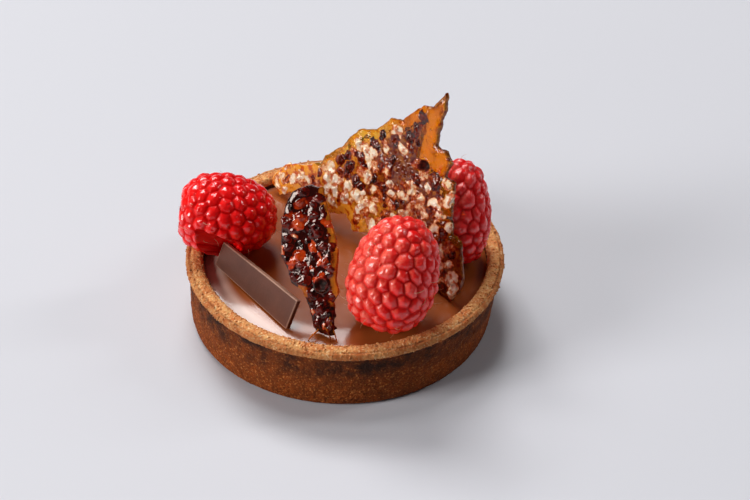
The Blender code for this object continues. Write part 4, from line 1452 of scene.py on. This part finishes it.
def make_stage():
    shape = bmesh.new()
    bmesh.ops.create_grid(shape, x_segments=1, y_segments=1, size=FLOOR_HALF)
    floor = link("floor", shape_mesh("floor", shape))
    material, tree, shader = new_material("floor_paint", Roughness=0.6)
    tone = noise_node(tree, object_place(tree), 300.0)
    colour = mix_colour(tree, tone, linear(213, 213, 219), linear(217, 217, 223))
    tree.links.new(colour, shader.inputs["Base Color"])
    paint(floor.data, material)

    world = bpy.data.worlds.new("studio")
    bpy.context.scene.world = world
    world.use_nodes = True
    background = world.node_tree.nodes["Background"]
    background.inputs["Color"].default_value = linear(240, 242, 250)
    background.inputs["Strength"].default_value = 0.05

    for name, setting in SOFTBOXES.items():
        add_softbox(name, *setting)


def add_softbox(name, azimuth, elevation, roll, width, height, radiance):
    """A softbox facing the tart; its azimuth is 0 at the back and negative to the left."""
    turn, rise = math.radians(azimuth), math.radians(elevation)
    lamp = bpy.data.lights.new(name, "AREA")
    lamp.shape = "RECTANGLE"
    lamp.size, lamp.size_y = width, height
    lamp.energy = radiance * math.pi * width * height
    lamp_object = bpy.data.objects.new(name, lamp)
    towards = Vector((math.sin(turn) * math.cos(rise), math.cos(turn) * math.cos(rise),
                      math.sin(rise)))
    lamp_object.location = towards * SOFTBOX_DISTANCE
    facing = towards.to_track_quat("Z", "Y").to_matrix()
    lamp_object.rotation_euler = (facing @ Matrix.Rotation(-math.radians(roll), 3, "Z")).to_euler()
    bpy.context.scene.collection.objects.link(lamp_object)


CAMERA_DISTANCE = 0.507
CAMERA_ELEVATION = math.radians(39.94)
CAMERA_ROLL = math.radians(0.75)
CAMERA_LENS = 100.0
AIM_RIGHT = 7.35 * MM               # the middle of the picture, from the middle of the base
AIM_UP = 13.4 * MM


def make_camera():
    lens = bpy.data.cameras.new("camera")
    lens.lens = CAMERA_LENS
    lens.sensor_width = 36.0
    camera = bpy.data.objects.new("camera", lens)
    bpy.context.scene.collection.objects.link(camera)
    place = Vector((0.0, -math.cos(CAMERA_ELEVATION), math.sin(CAMERA_ELEVATION)))
    place *= CAMERA_DISTANCE
    level = Vector((1.0, 0.0, 0.0))
    upright = level.cross(-place.normalized())
    right = level * math.cos(CAMERA_ROLL) + upright * math.sin(CAMERA_ROLL)
    up = upright * math.cos(CAMERA_ROLL) - level * math.sin(CAMERA_ROLL)
    forward = (right * AIM_RIGHT + up * AIM_UP - place).normalized()
    right = (right - forward * right.dot(forward)).normalized()
    turn = Matrix((right, right.cross(forward), -forward)).transposed()
    camera.matrix_world = Matrix.Translation(place) @ turn.to_4x4()
    bpy.context.scene.camera = camera


def make_tart():
    pastry = pastry_finish()
    rough = rough_relief_tree()
    crust = make_crust(pastry, rough)
    make_crumbs(crust, pastry)
    make_ganache(ganache_finish())
    make_stick(chocolate_finish())
    drupelets = drupelets_tree(berry_form_group())
    hairs = hairs_tree()
    hair = hair_finish()
    wet = raspberry_finish("raspberry_wet", linear(250, 0, 4), linear(255, 24, 20),
                           linear(190, 0, 0), 0.1)
    # the front berry's pale veil is partly bloom, partly a painted sheen
    bloom_and_sheen_skin = raspberry_finish("raspberry_bloomed", linear(250, 4, 6), linear(255, 106, 86),
                               linear(176, 0, 2), 0.26)
    shaded = raspberry_finish("raspberry_shaded", linear(248, 4, 10), linear(255, 92, 84),
                              linear(164, 0, 2), 0.26)
    for number, (name, skin) in enumerate(zip(RASPBERRIES, (wet, bloom_and_sheen_skin, shaded))):
        berry = make_raspberry(name, drupelets, skin)
        make_hairs(berry, hairs, hair, number)
    make_shards(rough)


make_camera()
make_stage()
make_tart()
bpy.context.scene.view_settings.view_transform = "Standard"
